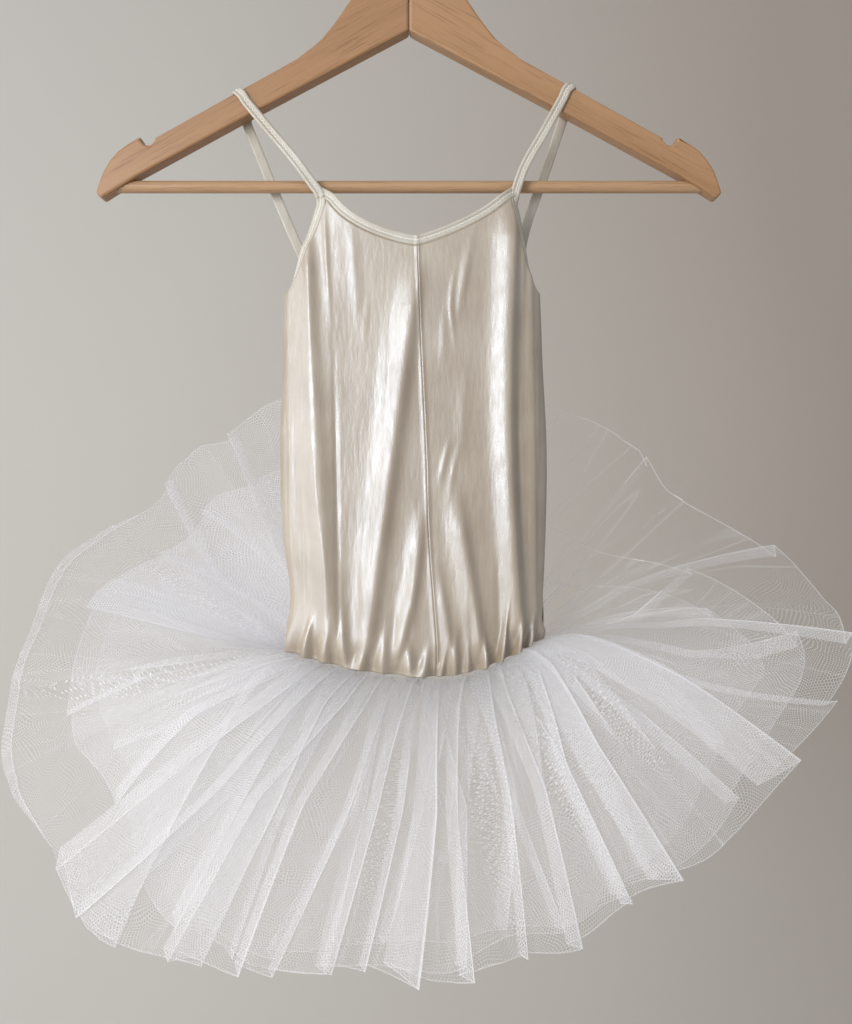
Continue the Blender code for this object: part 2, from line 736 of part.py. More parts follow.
# ---- whole -----------------------------------------------------------------------------------
def main():
    clear_scene()
    group = new_collection("ballet_tutu")
    cutters = new_collection("cutters")
    materials = {name: make_material(name) for name in COLOURS}
    build_hanger(materials, group, cutters)
    for side in SIDES:
        front_panel(side, materials["satin"], group)
        armhole_and_strap(side, materials["satin"], group)
    back_panel(materials["satin"], group)
    neck_bindings(materials["satin"], group)
    for layer in LAYERS:
        net_layer(layer, materials["net"], group)


main()
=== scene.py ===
import math
import bmesh
import bpy
import numpy as np
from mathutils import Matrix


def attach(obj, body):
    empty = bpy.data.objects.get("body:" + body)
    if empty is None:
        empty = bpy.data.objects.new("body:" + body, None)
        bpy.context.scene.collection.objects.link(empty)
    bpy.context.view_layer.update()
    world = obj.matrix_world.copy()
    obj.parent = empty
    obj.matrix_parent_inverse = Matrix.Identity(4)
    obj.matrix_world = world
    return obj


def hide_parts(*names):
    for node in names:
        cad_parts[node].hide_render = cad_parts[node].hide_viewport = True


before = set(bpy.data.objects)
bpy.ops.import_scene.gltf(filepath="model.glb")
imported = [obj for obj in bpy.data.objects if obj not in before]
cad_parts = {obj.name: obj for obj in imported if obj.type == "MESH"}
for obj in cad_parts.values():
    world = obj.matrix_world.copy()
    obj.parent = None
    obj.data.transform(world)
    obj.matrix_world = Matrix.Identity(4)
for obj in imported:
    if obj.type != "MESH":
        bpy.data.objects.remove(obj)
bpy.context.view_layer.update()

# Child's ballet tutu on a wooden hanger. Lengths in the tables are millimetres, as in the part's source:
# origin inside the hook's crown, +Z up, front at -Y, left and right as seen from the front.
mm = 0.001
seamGap = 0.3
sides = {"left": -1, "right": 1}
scene = bpy.context.scene


def unit(vectors):
    return vectors / np.linalg.norm(vectors, axis=-1, keepdims=True)


def through(knots, values, places, period=None):
    # smooth curve through the values at the knots, read at the places
    knots = np.asarray(knots, float)
    values = np.asarray(values, float)
    if period:
        knots = np.concatenate([knots[-2:] - period, knots, knots[:2] + period])
        values = np.concatenate([values[-2:], values, values[:2]])
        places = np.mod(places, period)
    slopes = np.gradient(values, knots, axis=0)
    places = np.clip(places, knots[0], knots[-1])
    index = np.clip(np.searchsorted(knots, places, side="right") - 1, 0, len(knots) - 2)
    step = knots[index + 1] - knots[index]
    share = (places - knots[index]) / step
    if values.ndim > 1:
        share = np.asarray(share)[..., None]
        step = np.asarray(step)[..., None]
    return (
        (1 + 2 * share) * (1 - share) ** 2 * values[index]
        + share * (1 - share) ** 2 * step * slopes[index]
        + share ** 2 * (3 - 2 * share) * values[index + 1]
        + share ** 2 * (share - 1) * step * slopes[index + 1]
    )


def walkAlong(rows):
    # distance walked to each row of a path
    return np.concatenate([[0], np.cumsum(np.linalg.norm(np.diff(rows[:, :3], axis=0), axis=1))])


def resample(rows, count):
    rows = np.asarray(rows, float)
    walk = walkAlong(rows)
    return through(walk, rows, np.linspace(0, walk[-1], count))


def gridMesh(name, grid, material, ringed=False, uv=None, values=None, flip=False):
    # mesh through a grid of points: columns across, rows up. values are named floats at the points
    columns, rows = grid.shape[:2]
    column = np.arange(columns if ringed else columns - 1)[:, None]
    row = np.arange(rows - 1)[None, :]
    after = (column + 1) % columns
    corners = [column * rows + row, after * rows + row, after * rows + row + 1, column * rows + row + 1]
    if flip:
        corners.reverse()
    faces = np.stack([np.broadcast_to(corner, (len(column), rows - 1)) for corner in corners], -1)
    faces = faces.reshape(-1, 4)
    mesh = bpy.data.meshes.new(name)
    mesh.from_pydata((grid.reshape(-1, 3) * mm).tolist(), [], faces.tolist())
    mesh.shade_smooth()
    if uv is not None:
        layer = mesh.uv_layers.new(name="cloth")
        flat = uv.reshape(-1, 2)[faces.reshape(-1)]
        layer.data.foreach_set("uv", np.ascontiguousarray(flat, dtype=np.float32).reshape(-1))
    for key, numbers in (values or {}).items():
        attribute = mesh.attributes.new(key, "FLOAT", "POINT")
        attribute.data.foreach_set("value", np.ascontiguousarray(numbers, dtype=np.float32).reshape(-1))
    piece = bpy.data.objects.new(name, mesh)
    mesh.materials.append(material)
    scene.collection.objects.link(piece)
    return piece


def thicken(piece, thickness, offset):
    wall = piece.modifiers.new("wall", "SOLIDIFY")
    wall.thickness = thickness * mm
    wall.offset = offset
    wall.use_even_offset = False


def setMaterial(name, material):
    # gives a solid of the frame its finish
    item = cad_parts[name]
    item.data.materials.clear()
    item.data.materials.append(material)


def addNode(tree, kind, inputs=None, **settings):
    item = tree.nodes.new(kind)
    for key, value in settings.items():
        setattr(item, key, value)
    for key, value in (inputs or {}).items():
        if isinstance(value, bpy.types.NodeSocket):
            tree.links.new(value, item.inputs[key])
        else:
            item.inputs[key].default_value = value
    return item


def calculate(tree, operation, *values, clamp=False):
    item = addNode(tree, "ShaderNodeMath", dict(enumerate(values)), operation=operation, use_clamp=clamp)
    return item.outputs[0]


def mapped(tree, value, low, high, fromLow=0.0, fromHigh=1.0):
    # value between fromLow and fromHigh, spread from low to high
    return addNode(tree, "ShaderNodeMapRange", {"Value": value, "From Min": fromLow, "From Max": fromHigh,
                                                "To Min": low, "To Max": high}).outputs[0]


def vectorMath(tree, operation, first, second=(0, 0, 0)):
    item = addNode(tree, "ShaderNodeVectorMath", {0: first, 1: second}, operation=operation)
    return item.outputs["Value"] if operation in ("DOT_PRODUCT", "LENGTH") else item.outputs[0]


def stretchedNoise(tree, vector, stretch, inputs):
    stretched = vectorMath(tree, "MULTIPLY", vector, stretch)
    return addNode(tree, "ShaderNodeTexNoise", {"Vector": stretched, **inputs}).outputs["Fac"]


def clothValue(tree, name):
    # a named float of the piece's own points
    return addNode(tree, "ShaderNodeAttribute", attribute_name=name).outputs["Fac"]


def ramp(tree, fac, stops):
    item = addNode(tree, "ShaderNodeValToRGB", {"Fac": fac})
    for element, (place, colour) in zip(item.color_ramp.elements, (stops[0], stops[-1])):
        element.position = place
        element.color = (*colour, 1)
    for place, colour in stops[1:-1]:
        item.color_ramp.elements.new(place).color = (*colour, 1)
    return item.outputs["Color"]


def newMaterial(name):
    material = bpy.data.materials.new(name)
    material.use_nodes = True
    tree = material.node_tree
    shader = tree.nodes["Principled BSDF"]
    return material, tree, shader


def newGroup(name, inputs, outputs):
    tree = bpy.data.node_groups.new(name, "ShaderNodeTree")
    for label, kind, value in inputs:
        socket = tree.interface.new_socket(label, in_out="INPUT", socket_type=kind)
        if value is not None:
            socket.default_value = value
    for label, kind in outputs:
        tree.interface.new_socket(label, in_out="OUTPUT", socket_type=kind)
    start = tree.nodes.new("NodeGroupInput")
    end = tree.nodes.new("NodeGroupOutput")
    return tree, start, end


# how much finer than the whole the ribs and the crinkles of the knit are, on each axis
knitStretch = {"ribs": (0.6, 0.6, 1.3), "crinkle": (330.0, 330.0, 75.0)}


# fine lengthwise ribs of a warp-knit, with a soft cloudiness and lengthwise crinkles
def makeKnitGroup():
    tree, start, end = newGroup("warpKnit", [
        ("Vector", "NodeSocketVector", None), ("Grain", "NodeSocketFloat", 1500.0),
        ("Cloud", "NodeSocketFloat", 26.0)],
        [("Height", "NodeSocketFloat"), ("Tone", "NodeSocketFloat"), ("Crinkle", "NodeSocketFloat")])
    vector = start.outputs["Vector"]
    grain = stretchedNoise(tree, vector, knitStretch["ribs"],
                           {"Scale": start.outputs["Grain"], "Detail": 1.0})
    cloud = addNode(tree, "ShaderNodeTexNoise", {"Vector": vector, "Scale": start.outputs["Cloud"],
                                                 "Detail": 3.0}).outputs["Fac"]
    crinkle = stretchedNoise(tree, vector, knitStretch["crinkle"], {"Scale": 1.0, "Detail": 3.0})
    tree.links.new(grain, end.inputs["Height"])
    tree.links.new(cloud, end.inputs["Tone"])
    tree.links.new(crinkle, end.inputs["Crinkle"])
    return tree


# hexagonal net: 1 on a thread, 0 in a hole. The vector is the cloth's own place in metres
def makeNetGroup():
    tree, start, end = newGroup("hexNet", [
        ("Vector", "NodeSocketVector", None), ("Cell", "NodeSocketFloat", 0.0017),
        ("Thread", "NodeSocketFloat", 0.00017)], [("Cover", "NodeSocketFloat")])
    scale = calculate(tree, "DIVIDE", 1.0, start.outputs["Cell"])
    cells = addNode(tree, "ShaderNodeVectorMath", {0: start.outputs["Vector"], "Scale": scale},
                    operation="SCALE").outputs[0]
    rowStep = math.sqrt(3)
    spacing = (1.0, rowStep, 1.0)
    half = (0.5, rowStep / 2, 0.5)
    farOff = (4000.0, 4000.0 * rowStep, 0)      # keeps the modulo to one side of zero
    away = []
    for shifted in (cells, vectorMath(tree, "ADD", cells, half)):
        wrapped = vectorMath(tree, "MODULO", vectorMath(tree, "ADD", shifted, farOff), spacing)
        centred = vectorMath(tree, "ABSOLUTE", vectorMath(tree, "SUBTRACT", wrapped, half))
        slanted = vectorMath(tree, "DOT_PRODUCT", centred, (0.5, rowStep / 2, 0))
        across = addNode(tree, "ShaderNodeSeparateXYZ", {0: centred}).outputs["X"]
        away.append(calculate(tree, "MAXIMUM", slanted, across))
    nearest = calculate(tree, "MINIMUM", *away)
    edge = calculate(tree, "MULTIPLY", calculate(tree, "SUBTRACT", 0.5, nearest), start.outputs["Cell"])
    onThread = calculate(tree, "LESS_THAN", edge, calculate(tree, "MULTIPLY", start.outputs["Thread"], 0.5))
    tree.links.new(onThread, end.inputs["Cover"])
    return tree


# long pale wood grain that runs along X of the vector
def makeWoodGroup():
    tree, start, end = newGroup("paleWood", [
        ("Vector", "NodeSocketVector", None), ("Rings", "NodeSocketFloat", 55.0),
        ("Pores", "NodeSocketFloat", 900.0)], [("Tone", "NodeSocketFloat"), ("Fibre", "NodeSocketFloat")])
    vector = start.outputs["Vector"]
    rings = stretchedNoise(tree, vector, (0.06, 1.0, 1.0), {"Scale": start.outputs["Rings"], "Detail": 4.0,
                                                            "Distortion": 0.6})
    fibre = stretchedNoise(tree, vector, (0.035, 1.0, 1.0), {"Scale": start.outputs["Pores"], "Detail": 3.0,
                                                             "Roughness": 0.65})
    tree.links.new(rings, end.inputs["Tone"])
    tree.links.new(fibre, end.inputs["Fibre"])
    return tree


knitGroup = makeKnitGroup()
netGroup = makeNetGroup()
woodGroup = makeWoodGroup()

cameraView = {"place": (0.012, -0.8, -0.451), "lens": 39.9, "sensor": 36.0, "farthest": 20.0}


def addCamera():
    data = bpy.data.cameras.new("frontView")
    data.lens = cameraView["lens"]
    data.sensor_width = cameraView["sensor"]
    data.clip_end = cameraView["farthest"]
    camera = bpy.data.objects.new("frontView", data)
    camera.location = cameraView["place"]
    camera.rotation_euler = (math.pi / 2, 0, 0)
    scene.collection.objects.link(camera)
    scene.camera = camera


addCamera()
print("camera placed")

studio = {
    "floorHeight": -1.7, "wallDepth": 1.9, "halfWidth": 3.4, "front": -2.6, "top": 2.6, "bend": 0.8,
    # painted light on the backdrop: paler on the left where the light falls, darker and warmer on the right
    # in shade
    "paintedLitLeft": (0.75, 0.73, 0.69), "paintedShadeRight": (0.475, 0.42, 0.373), "fadeWidth": 2.2,
    "shadeLow": 0.76, "shadeHigh": 1.1, "shadeFrom": -1.3, "shadeTo": 0.4, "mottle": 0.06, "roughness": 0.9,
    "key": {"place": (-1.12, -1.6, -0.05), "size": (0.8, 1.3), "power": 32.0, "colour": (1.0, 0.99, 0.975)},
    "fill": {"place": (0.4, -2.4, 0.8), "size": (1.8, 1.8), "power": 4.0, "colour": (1.0, 0.98, 0.95)},
    "side": {"place": (-1.7, -0.3, -0.3), "size": (0.6, 1.4), "power": 10.0, "colour": (1.0, 0.995, 0.985)},
    "lookAt": (0.0, 0.0, -0.45), "world": (0.80, 0.81, 0.83), "worldStrength": 0.57,
}


def addStudio():
    material, tree, shader = newMaterial("studioPaintedLightFall")
    place = addNode(tree, "ShaderNodeTexCoord").outputs["Object"]
    noise = addNode(tree, "ShaderNodeTexNoise", {"Vector": place, "Scale": 2.5, "Detail": 2.0})
    mottle = noise.outputs["Fac"]
    axes = addNode(tree, "ShaderNodeSeparateXYZ", {0: place})
    # painted light and shade: the backdrop is made paler towards the left and lower down, darker towards the
    # right and higher up
    level = mapped(tree, axes.outputs["Z"], studio["shadeLow"], studio["shadeHigh"],
                   studio["shadeFrom"], studio["shadeTo"])
    reach = studio["fadeWidth"] / 2
    across = mapped(tree, axes.outputs["X"], 0.0, 1.0, -reach, reach)
    even = calculate(tree, "MULTIPLY", across, level)
    cloudy = calculate(tree, "MULTIPLY_ADD", mottle, studio["mottle"], even)
    colour = ramp(tree, cloudy, [(0.02, studio["paintedLitLeft"]), (1.0, studio["paintedShadeRight"])])
    tree.links.new(colour, shader.inputs["Base Color"])
    shader.inputs["Roughness"].default_value = studio["roughness"]
    profile = [(studio["front"], studio["floorHeight"])]
    turnY = studio["wallDepth"] - studio["bend"]
    turnZ = studio["floorHeight"] + studio["bend"]
    for angle in np.linspace(-math.pi / 2, 0, 14):
        profile.append((turnY + studio["bend"] * math.cos(angle), turnZ + studio["bend"] * math.sin(angle)))
    profile.append((studio["wallDepth"], studio["top"]))
    sideways = (-studio["halfWidth"], studio["halfWidth"])
    grid = [[(x / mm, y / mm, z / mm) for y, z in profile] for x in sideways]
    sweep = gridMesh("studioSweep", np.array(grid), material)


def addLight(name, settings):
    data = bpy.data.lights.new(name, "AREA")
    data.shape = "RECTANGLE"
    data.size, data.size_y = settings["size"]
    data.energy = settings["power"]
    data.color = settings["colour"]
    lamp = bpy.data.objects.new(name, data)
    place = np.array(settings["place"])
    back = unit(place - np.array(studio["lookAt"]))
    lamp.location = place
    lamp.rotation_euler = (math.acos(back[2]), 0, math.atan2(back[1], back[0]) + math.pi / 2)
    scene.collection.objects.link(lamp)


def addWorld():
    world = bpy.data.worlds.new("softRoom")
    world.use_nodes = True
    ground = world.node_tree.nodes["Background"]
    ground.inputs["Color"].default_value = (*studio["world"], 1)
    ground.inputs["Strength"].default_value = studio["worldStrength"]
    scene.world = world


addStudio()
addLight("windowLight", studio["key"])
addLight("roomLight", studio["fill"])
addLight("doorLight", studio["side"])
addWorld()
scene.view_settings.view_transform = "Standard"
scene.cycles.transparent_max_bounces = 48
print("studio ready")

woodFinish = {
    "pale": (0.335, 0.18, 0.083), "mid": (0.29, 0.154, 0.068), "dark": (0.22, 0.112, 0.047),
    "pore": (0.62, 0.55, 0.5), "poreShare": 0.75, "roughness": (0.52, 0.38), "bump": 0.12,
    "varnish": 0.12, "varnishRoughness": 0.3,
}
# each piece's material, the way its grain runs in degrees about Y, its stretch of the wood, and its tone: the
# bar is paler, and the right arm is painted paler for the light that falls on it
woodPieces = {
    "hanger_arm_left": ("woodArmLeft", 29.5, (0.3, 0.1, 0.02), (1, 1, 1)),
    # painted light: the right arm's wood is made paler for the light that falls on it
    "hanger_arm_right": ("woodArmRightPaintedLit", -29.5, (0.9, 0.4, 0.07), (1.12, 1.16, 1.22)),
    "hanger_bar": ("woodBar", 0.0, (0.1, 0.7, 0.03), (1.26, 1.46, 1.75)),
}
steelFinish = {"colour": (0.72, 0.72, 0.73), "roughness": (0.12, 0.3), "smudges": 90.0}


def makeWood(name, turn, shift, toneAndLight):
    # a tone above one makes the wood paler; on the right arm this is painted light
    pale, mid, dark = [np.array(woodFinish[key]) * toneAndLight for key in ("pale", "mid", "dark")]
    material, tree, shader = newMaterial(name)
    place = addNode(tree, "ShaderNodeTexCoord").outputs["Object"]
    along = addNode(tree, "ShaderNodeMapping", {"Vector": place, "Location": shift,
                                                "Rotation": (0, math.radians(turn), 0)})
    grain = addNode(tree, "ShaderNodeGroup", {"Vector": along.outputs[0]}, node_tree=woodGroup)
    fibre = grain.outputs["Fibre"]
    colour = ramp(tree, grain.outputs["Tone"], [
        (0.3, tuple(mid)), (0.5, tuple(pale)), (0.62, tuple(mid * 1.06)), (0.72, tuple(dark * 1.25))])
    pores = ramp(tree, fibre, [(0.32, woodFinish["pore"]), (0.46, (1, 1, 1))])
    mixed = addNode(tree, "ShaderNodeMix", data_type="RGBA", blend_type="MULTIPLY")
    mixed.inputs[0].default_value = woodFinish["poreShare"]
    tree.links.new(colour, mixed.inputs[6])
    tree.links.new(pores, mixed.inputs[7])
    tree.links.new(mixed.outputs[2], shader.inputs["Base Color"])
    tree.links.new(mapped(tree, fibre, *woodFinish["roughness"]), shader.inputs["Roughness"])
    bump = addNode(tree, "ShaderNodeBump", {"Height": fibre, "Strength": woodFinish["bump"],
                                            "Distance": 0.0004})
    tree.links.new(bump.outputs[0], shader.inputs["Normal"])
    shader.inputs["Coat Weight"].default_value = woodFinish["varnish"]
    shader.inputs["Coat Roughness"].default_value = woodFinish["varnishRoughness"]
    return material


def makeSteel():
    material, tree, shader = newMaterial("hookSteel")
    place = addNode(tree, "ShaderNodeTexCoord").outputs["Object"]
    smudge = addNode(tree, "ShaderNodeTexNoise", {"Vector": place, "Scale": steelFinish["smudges"],
                                                  "Detail": 4.0})
    tree.links.new(mapped(tree, smudge.outputs["Fac"], *steelFinish["roughness"]), shader.inputs["Roughness"])
    shader.inputs["Base Color"].default_value = (*steelFinish["colour"], 1)
    shader.inputs["Metallic"].default_value = 1.0
    return material


for node, settings in woodPieces.items():
    setMaterial(node, makeWood(*settings))
setMaterial("hanger_hook", makeSteel())
print("hanger finished")

bodice = {
    "power": 2.6,             # squareness of the hanging tube's cross-section
    "crowding": 0.7,          # columns stand closer round the side
    "waistSide": {-1: -548.0, 1: -541.0}, "waistFront": -563.5, "waistBack": -552.0,
    "underarm": -298.0, "neckLow": -267.0, "neckCorner": -233.5,
    "neckPower": {-1: 1.45, 1: 1.2}, "cornerShare": {-1: 0.7, 1: 0.68},
    "backNeckLow": -318.0, "backCorner": -284.0, "backCornerShare": 17 / 26,
    "foldFade": 35.0, "pullShare": 0.6, "pullHeight": 14.0,
    "foldLean": 0.3,          # how much steeper a fold's right side is than its left side
    "puff": 1.3, "puffHeight": 15.0, "tuck": 1.5, "tuckHeight": 4.5,      # cloth blouses over the waist
    "seamRise": 0.9, "seamWidth": 1.5,
    "thickness": 0.8, "columns": 110, "rows": 110, "armholeRows": 60,
    "rowSpread": 1.15,        # rows stand closer above the waist, where the gathers are
}
# height left right front back seam
sections = np.array([
    (-565, -89, 93, 25, 22, 19),
    (-541, -87, 92, 25, 22, 19),
    (-513, -83, 94, 25, 22, 17),
    (-470, -88, 96, 25, 22, 14),
    (-410, -90, 97, 24, 22, 12),
    (-345, -88, 94, 22, 20, 9),
    (-292, -86, 92, 20, 18, 7),
    (-262, -79, 90, 18, 16, 6),
    (-225, -66, 83, 17, 14, 6),
], float)
# a fold down to the waist: top xTop xMiddle xLow widthTop widthLow rise
frontFolds = [
    (-246, -71, -65, -50, 4.5, 12, 3.4),
    (-290, -66, -66, -62, 20, 14, 2.2),
    (-275, 5, -14, -33, 7.5, 7.5, 4.4),
    (-445, 8, 2, -12, 5, 4.5, 3.4),
    (-480, 17, 24, 31, 4.5, 4.5, 2.6),
    (-430, 29, 40, 51, 7, 5.5, 3.8),
    (-225, 70, 66, 75, 8, 6, 6.4),
    (-240, 83, 85, 87, 3, 3, 1.2),
]
backFolds = [
    (-284, -66, -60, -62, 7, 8, 3.4),
    (-330, -30, -22, -34, 10, 6, 4.0),
    (-400, 2, -4, 6, 6, 5, 3.0),
    (-340, 34, 30, 22, 9, 6, 3.8),
    (-284, 64, 60, 66, 8, 7, 3.6),
]
# a lesser crease: top bottom xTop xMiddle xLow width rise
frontCreases = [
    (-215, -350, -73, -69, -66, 2.2, 1.0),
    (-215, -330, -60, -57, -53, 1.8, 1.2),
    (-300, -600, -52, -49, -46, 1.6, -1.2),
    (-225, -345, -42, -37, -33, 3.5, 0.7),
    (-300, -345, -27, -30, -29, 1.8, 0.35),
    (-300, -430, -13, -18, -24, 3.5, 0.5),
    (-410, -560, -60, -56, -54, 3.0, 1.0),
    (-430, -562, -33, -31, -33, 3.0, 0.5),
    (-250, -330, 46, 38, 33, 3.0, 1.1),
    (-275, -345, 33, 29, 33, 1.8, 0.9),
    (-300, -360, 26, 24, 23, 2.5, 0.6),
    (-340, -430, 39, 37, 35, 4.0, 0.7),
    (-395, -440, 30, 24, 20, 1.8, 0.9),
    (-400, -450, 36, 30, 27, 1.8, 0.7),
    (-215, -330, 80, 79, 79, 2.2, 1.3),
    (-300, -540, 76, 76, 82, 1.8, -1.0),
    (-380, -520, -66, -61, -52, 2.0, 0.9),
    (-420, -556, -74, -72, -71, 3.0, -0.9),
    (-300, -540, -83, -81, -80, 2.4, 0.8),
    (-480, -562, 5, 4, 2, 3.0, 0.8),
    (-500, -562, -10, -10, -12, 2.0, -0.8),
    (-500, -562, 41, 43, 44, 2.4, -0.9),
    (-470, -556, 60, 62, 62, 2.2, -0.8),
    (-290, -470, 88, 89, 88, 2.5, 0.8),
]
backCreases = [
    (-290, -420, -52, -46, -40, 4.0, 1.2),
    (-350, -540, -48, -44, -48, 2.0, -1.0),
    (-330, -430, -12, -8, -6, 3.0, 1.0),
    (-420, -552, -16, -18, -14, 2.6, 0.9),
    (-440, -552, 16, 18, 14, 2.4, -0.9),
    (-340, -450, 14, 18, 20, 3.4, 0.9),
    (-300, -400, 50, 46, 44, 2.6, 1.0),
    (-400, -552, 46, 46, 48, 2.0, -0.9),
    (-300, -540, -80, -78, -78, 2.4, 0.8),
    (-300, -540, 82, 80, 82, 2.4, 0.8),
]
gathers = {
    "count": 7.4,             # above the waist seam, to a half of the front or back
    "rise": 7.2, "height": 16.0, "seed": 11,
    "stray": 0.25, "size": (0.5, 1.2), "tall": (0.6, 1.5), "width": (0.22, 0.36),
    "sink": 0.45,             # how far the cloth between them draws in, as a share of their rise
}


def sectionAt(height):
    order = np.argsort(sections[:, 0])
    values = through(sections[order, 0], sections[order, 1:], height)
    return [values[..., i] for i in range(5)]


def waistHeight(sign, share, back):
    middle = np.where(back, bodice["waistBack"], bodice["waistFront"])
    side = np.where(sign < 0, bodice["waistSide"][-1], bodice["waistSide"][1])
    return side + (middle - side) * np.cos(share * math.pi / 2) ** 2


def skin(sign, share, height, back):
    # point on the bodice's outer face, and the way it faces
    left, right, front, rear, seam = sectionAt(height)
    edge = np.where(sign < 0, left, right)
    centre = (left + right) / 2
    start = np.where(back, centre, seam + sign * seamGap / 2)
    even = (1 - bodice["crowding"]) * share
    x = start + (edge - start) * (even + bodice["crowding"] * np.sin(share * math.pi / 2))
    half = right - centre
    across = np.minimum(1.0, abs(x - centre) / half)
    depth = np.where(back, rear, front)
    power = bodice["power"]
    forward = (1 - across ** power) ** (1 / power)
    way = np.where(back, 1, -1)
    point = np.stack([x, way * (seamGap / 2 + depth * forward), height + 0 * x], -1)
    facing = unit(np.stack([np.copysign(across ** (power - 1), x - centre) / half,
                            way * forward ** (power - 1) / depth, 0 * x], -1))
    return point, facing


def foldRise(x, height, folds):
    total = np.zeros_like(x)
    for top, xTop, xMiddle, xLow, widthTop, widthLow, rise in folds:
        down = (top - height) / (top - bodice["waistFront"])
        line = through([0, 0.5, 1], [xTop, xMiddle, xLow], down)
        width = widthTop + (widthLow - widthTop) * np.clip(down, 0, 1)
        fade = np.clip((top - height) / bodice["foldFade"], 0, 1)
        away = x - line - bodice["foldLean"] * width
        width = width * np.where(away > 0, 1 - bodice["foldLean"], 1 + bodice["foldLean"])
        total += rise * fade * np.exp(-(away / width) ** 2)
    return total


def creaseRise(x, height, creases):
    total = np.zeros_like(x)
    for top, bottom, xTop, xMiddle, xLow, width, rise in creases:
        down = (top - height) / (top - bottom)
        line = through([0, 0.5, 1], [xTop, xMiddle, xLow], down)
        fade = np.sin(np.clip(down, 0, 1) * math.pi) ** 2
        total += rise * fade * np.exp(-((x - line) / width) ** 2)
    return total


def gatherRise(sign, share, aboveWaist, back):
    dice = np.random.default_rng(gathers["seed"] + int(sign) + 5 * int(back))
    total = np.zeros_like(share)
    count = gathers["count"]
    out = (1 - bodice["crowding"]) * share + bodice["crowding"] * np.sin(share * math.pi / 2)
    stray = gathers["stray"]
    for k in range(int(count) + 1):
        middle = (k + 0.4 + dice.uniform(-stray, stray)) / count
        lean = dice.uniform(-stray, stray) / count
        size = gathers["rise"] * dice.uniform(*gathers["size"])
        height = gathers["height"] * dice.uniform(*gathers["tall"])
        up = np.clip(aboveWaist / height, 0, None)
        width = dice.uniform(*gathers["width"]) / count * (1.2 - 0.6 * np.minimum(up, 1))
        total += size * np.exp(-up ** 2) * np.exp(-((out - middle - lean * up) / width) ** 2)
    return total - gathers["rise"] * gathers["sink"] * np.exp(-(aboveWaist / gathers["height"]) ** 2)


def clothPoint(sign, share, height, back):
    # outer face with its folds, creases, raised centre seam and gathers
    share = np.asarray(share, float)
    point, facing = skin(sign, share, height, back)
    x = point[..., 0]
    rise = foldRise(x, height, backFolds if back else frontFolds)
    rise += creaseRise(x, height, backCreases if back else frontCreases)
    aboveWaist = height - waistHeight(sign, share, back)
    rise *= 1 - bodice["pullShare"] * np.exp(-(aboveWaist / bodice["pullHeight"]) ** 2)
    if not back:
        away = abs(x - sectionAt(height)[4])
        rise += bodice["seamRise"] * np.exp(-(away / bodice["seamWidth"]) ** 4)
    rise += bodice["puff"] * np.exp(-((aboveWaist - bodice["puffHeight"]) / bodice["puffHeight"] * 1.4) ** 2)
    rise -= bodice["tuck"] * np.exp(-(aboveWaist / bodice["tuckHeight"]) ** 2)
    rise += gatherRise(sign, share, aboveWaist, back)
    return point + facing * rise[..., None], facing


def neckHeight(sign, across):
    rise = bodice["neckCorner"] - bodice["neckLow"]
    return bodice["neckLow"] + rise * across ** bodice["neckPower"][sign]


def armholeShare(sign, height):
    leftOver = 1 - np.clip((height - bodice["underarm"]) / (bodice["neckCorner"] - bodice["underarm"]), 0, 1)
    return 1 - (1 - bodice["cornerShare"][sign]) * np.sqrt(1 - leftOver ** 2)


def frontPlace(sign, across, level):
    low = bodice["waistSide"][sign]
    share = across * armholeShare(sign, low + (bodice["neckCorner"] - low) * level)
    waist = waistHeight(sign, share, False)
    return share, waist + (neckHeight(sign, across) - waist) * level


def backTop(share):
    corner = bodice["backCornerShare"]
    inner = bodice["backNeckLow"] + (bodice["backCorner"] - bodice["backNeckLow"]) * (share / corner) ** 2
    outward = np.clip((1 - share) / (1 - corner), 0, 1)
    outer = bodice["underarm"] + (bodice["backCorner"] - bodice["underarm"]) * (1 - np.sqrt(1 - outward ** 2))
    return np.where(share <= corner, inner, outer)


satinFinish = {
    "dark": (0.34, 0.26, 0.165), "pale": (0.432, 0.355, 0.254), "grain": 1500.0,
    "gloss": 2.55, "glossTint": (0.755, 0.857, 1.0),
    "roughest": 0.07, "smoothest": -0.06,     # how far the roughness strays over the crinkles
    "ribs": 0.35, "ribDepth": 0.0002, "crinkle": 0.5, "crinkleDepth": 0.0006,
    "sheen": 0.2, "sheenRoughness": 0.4,
}


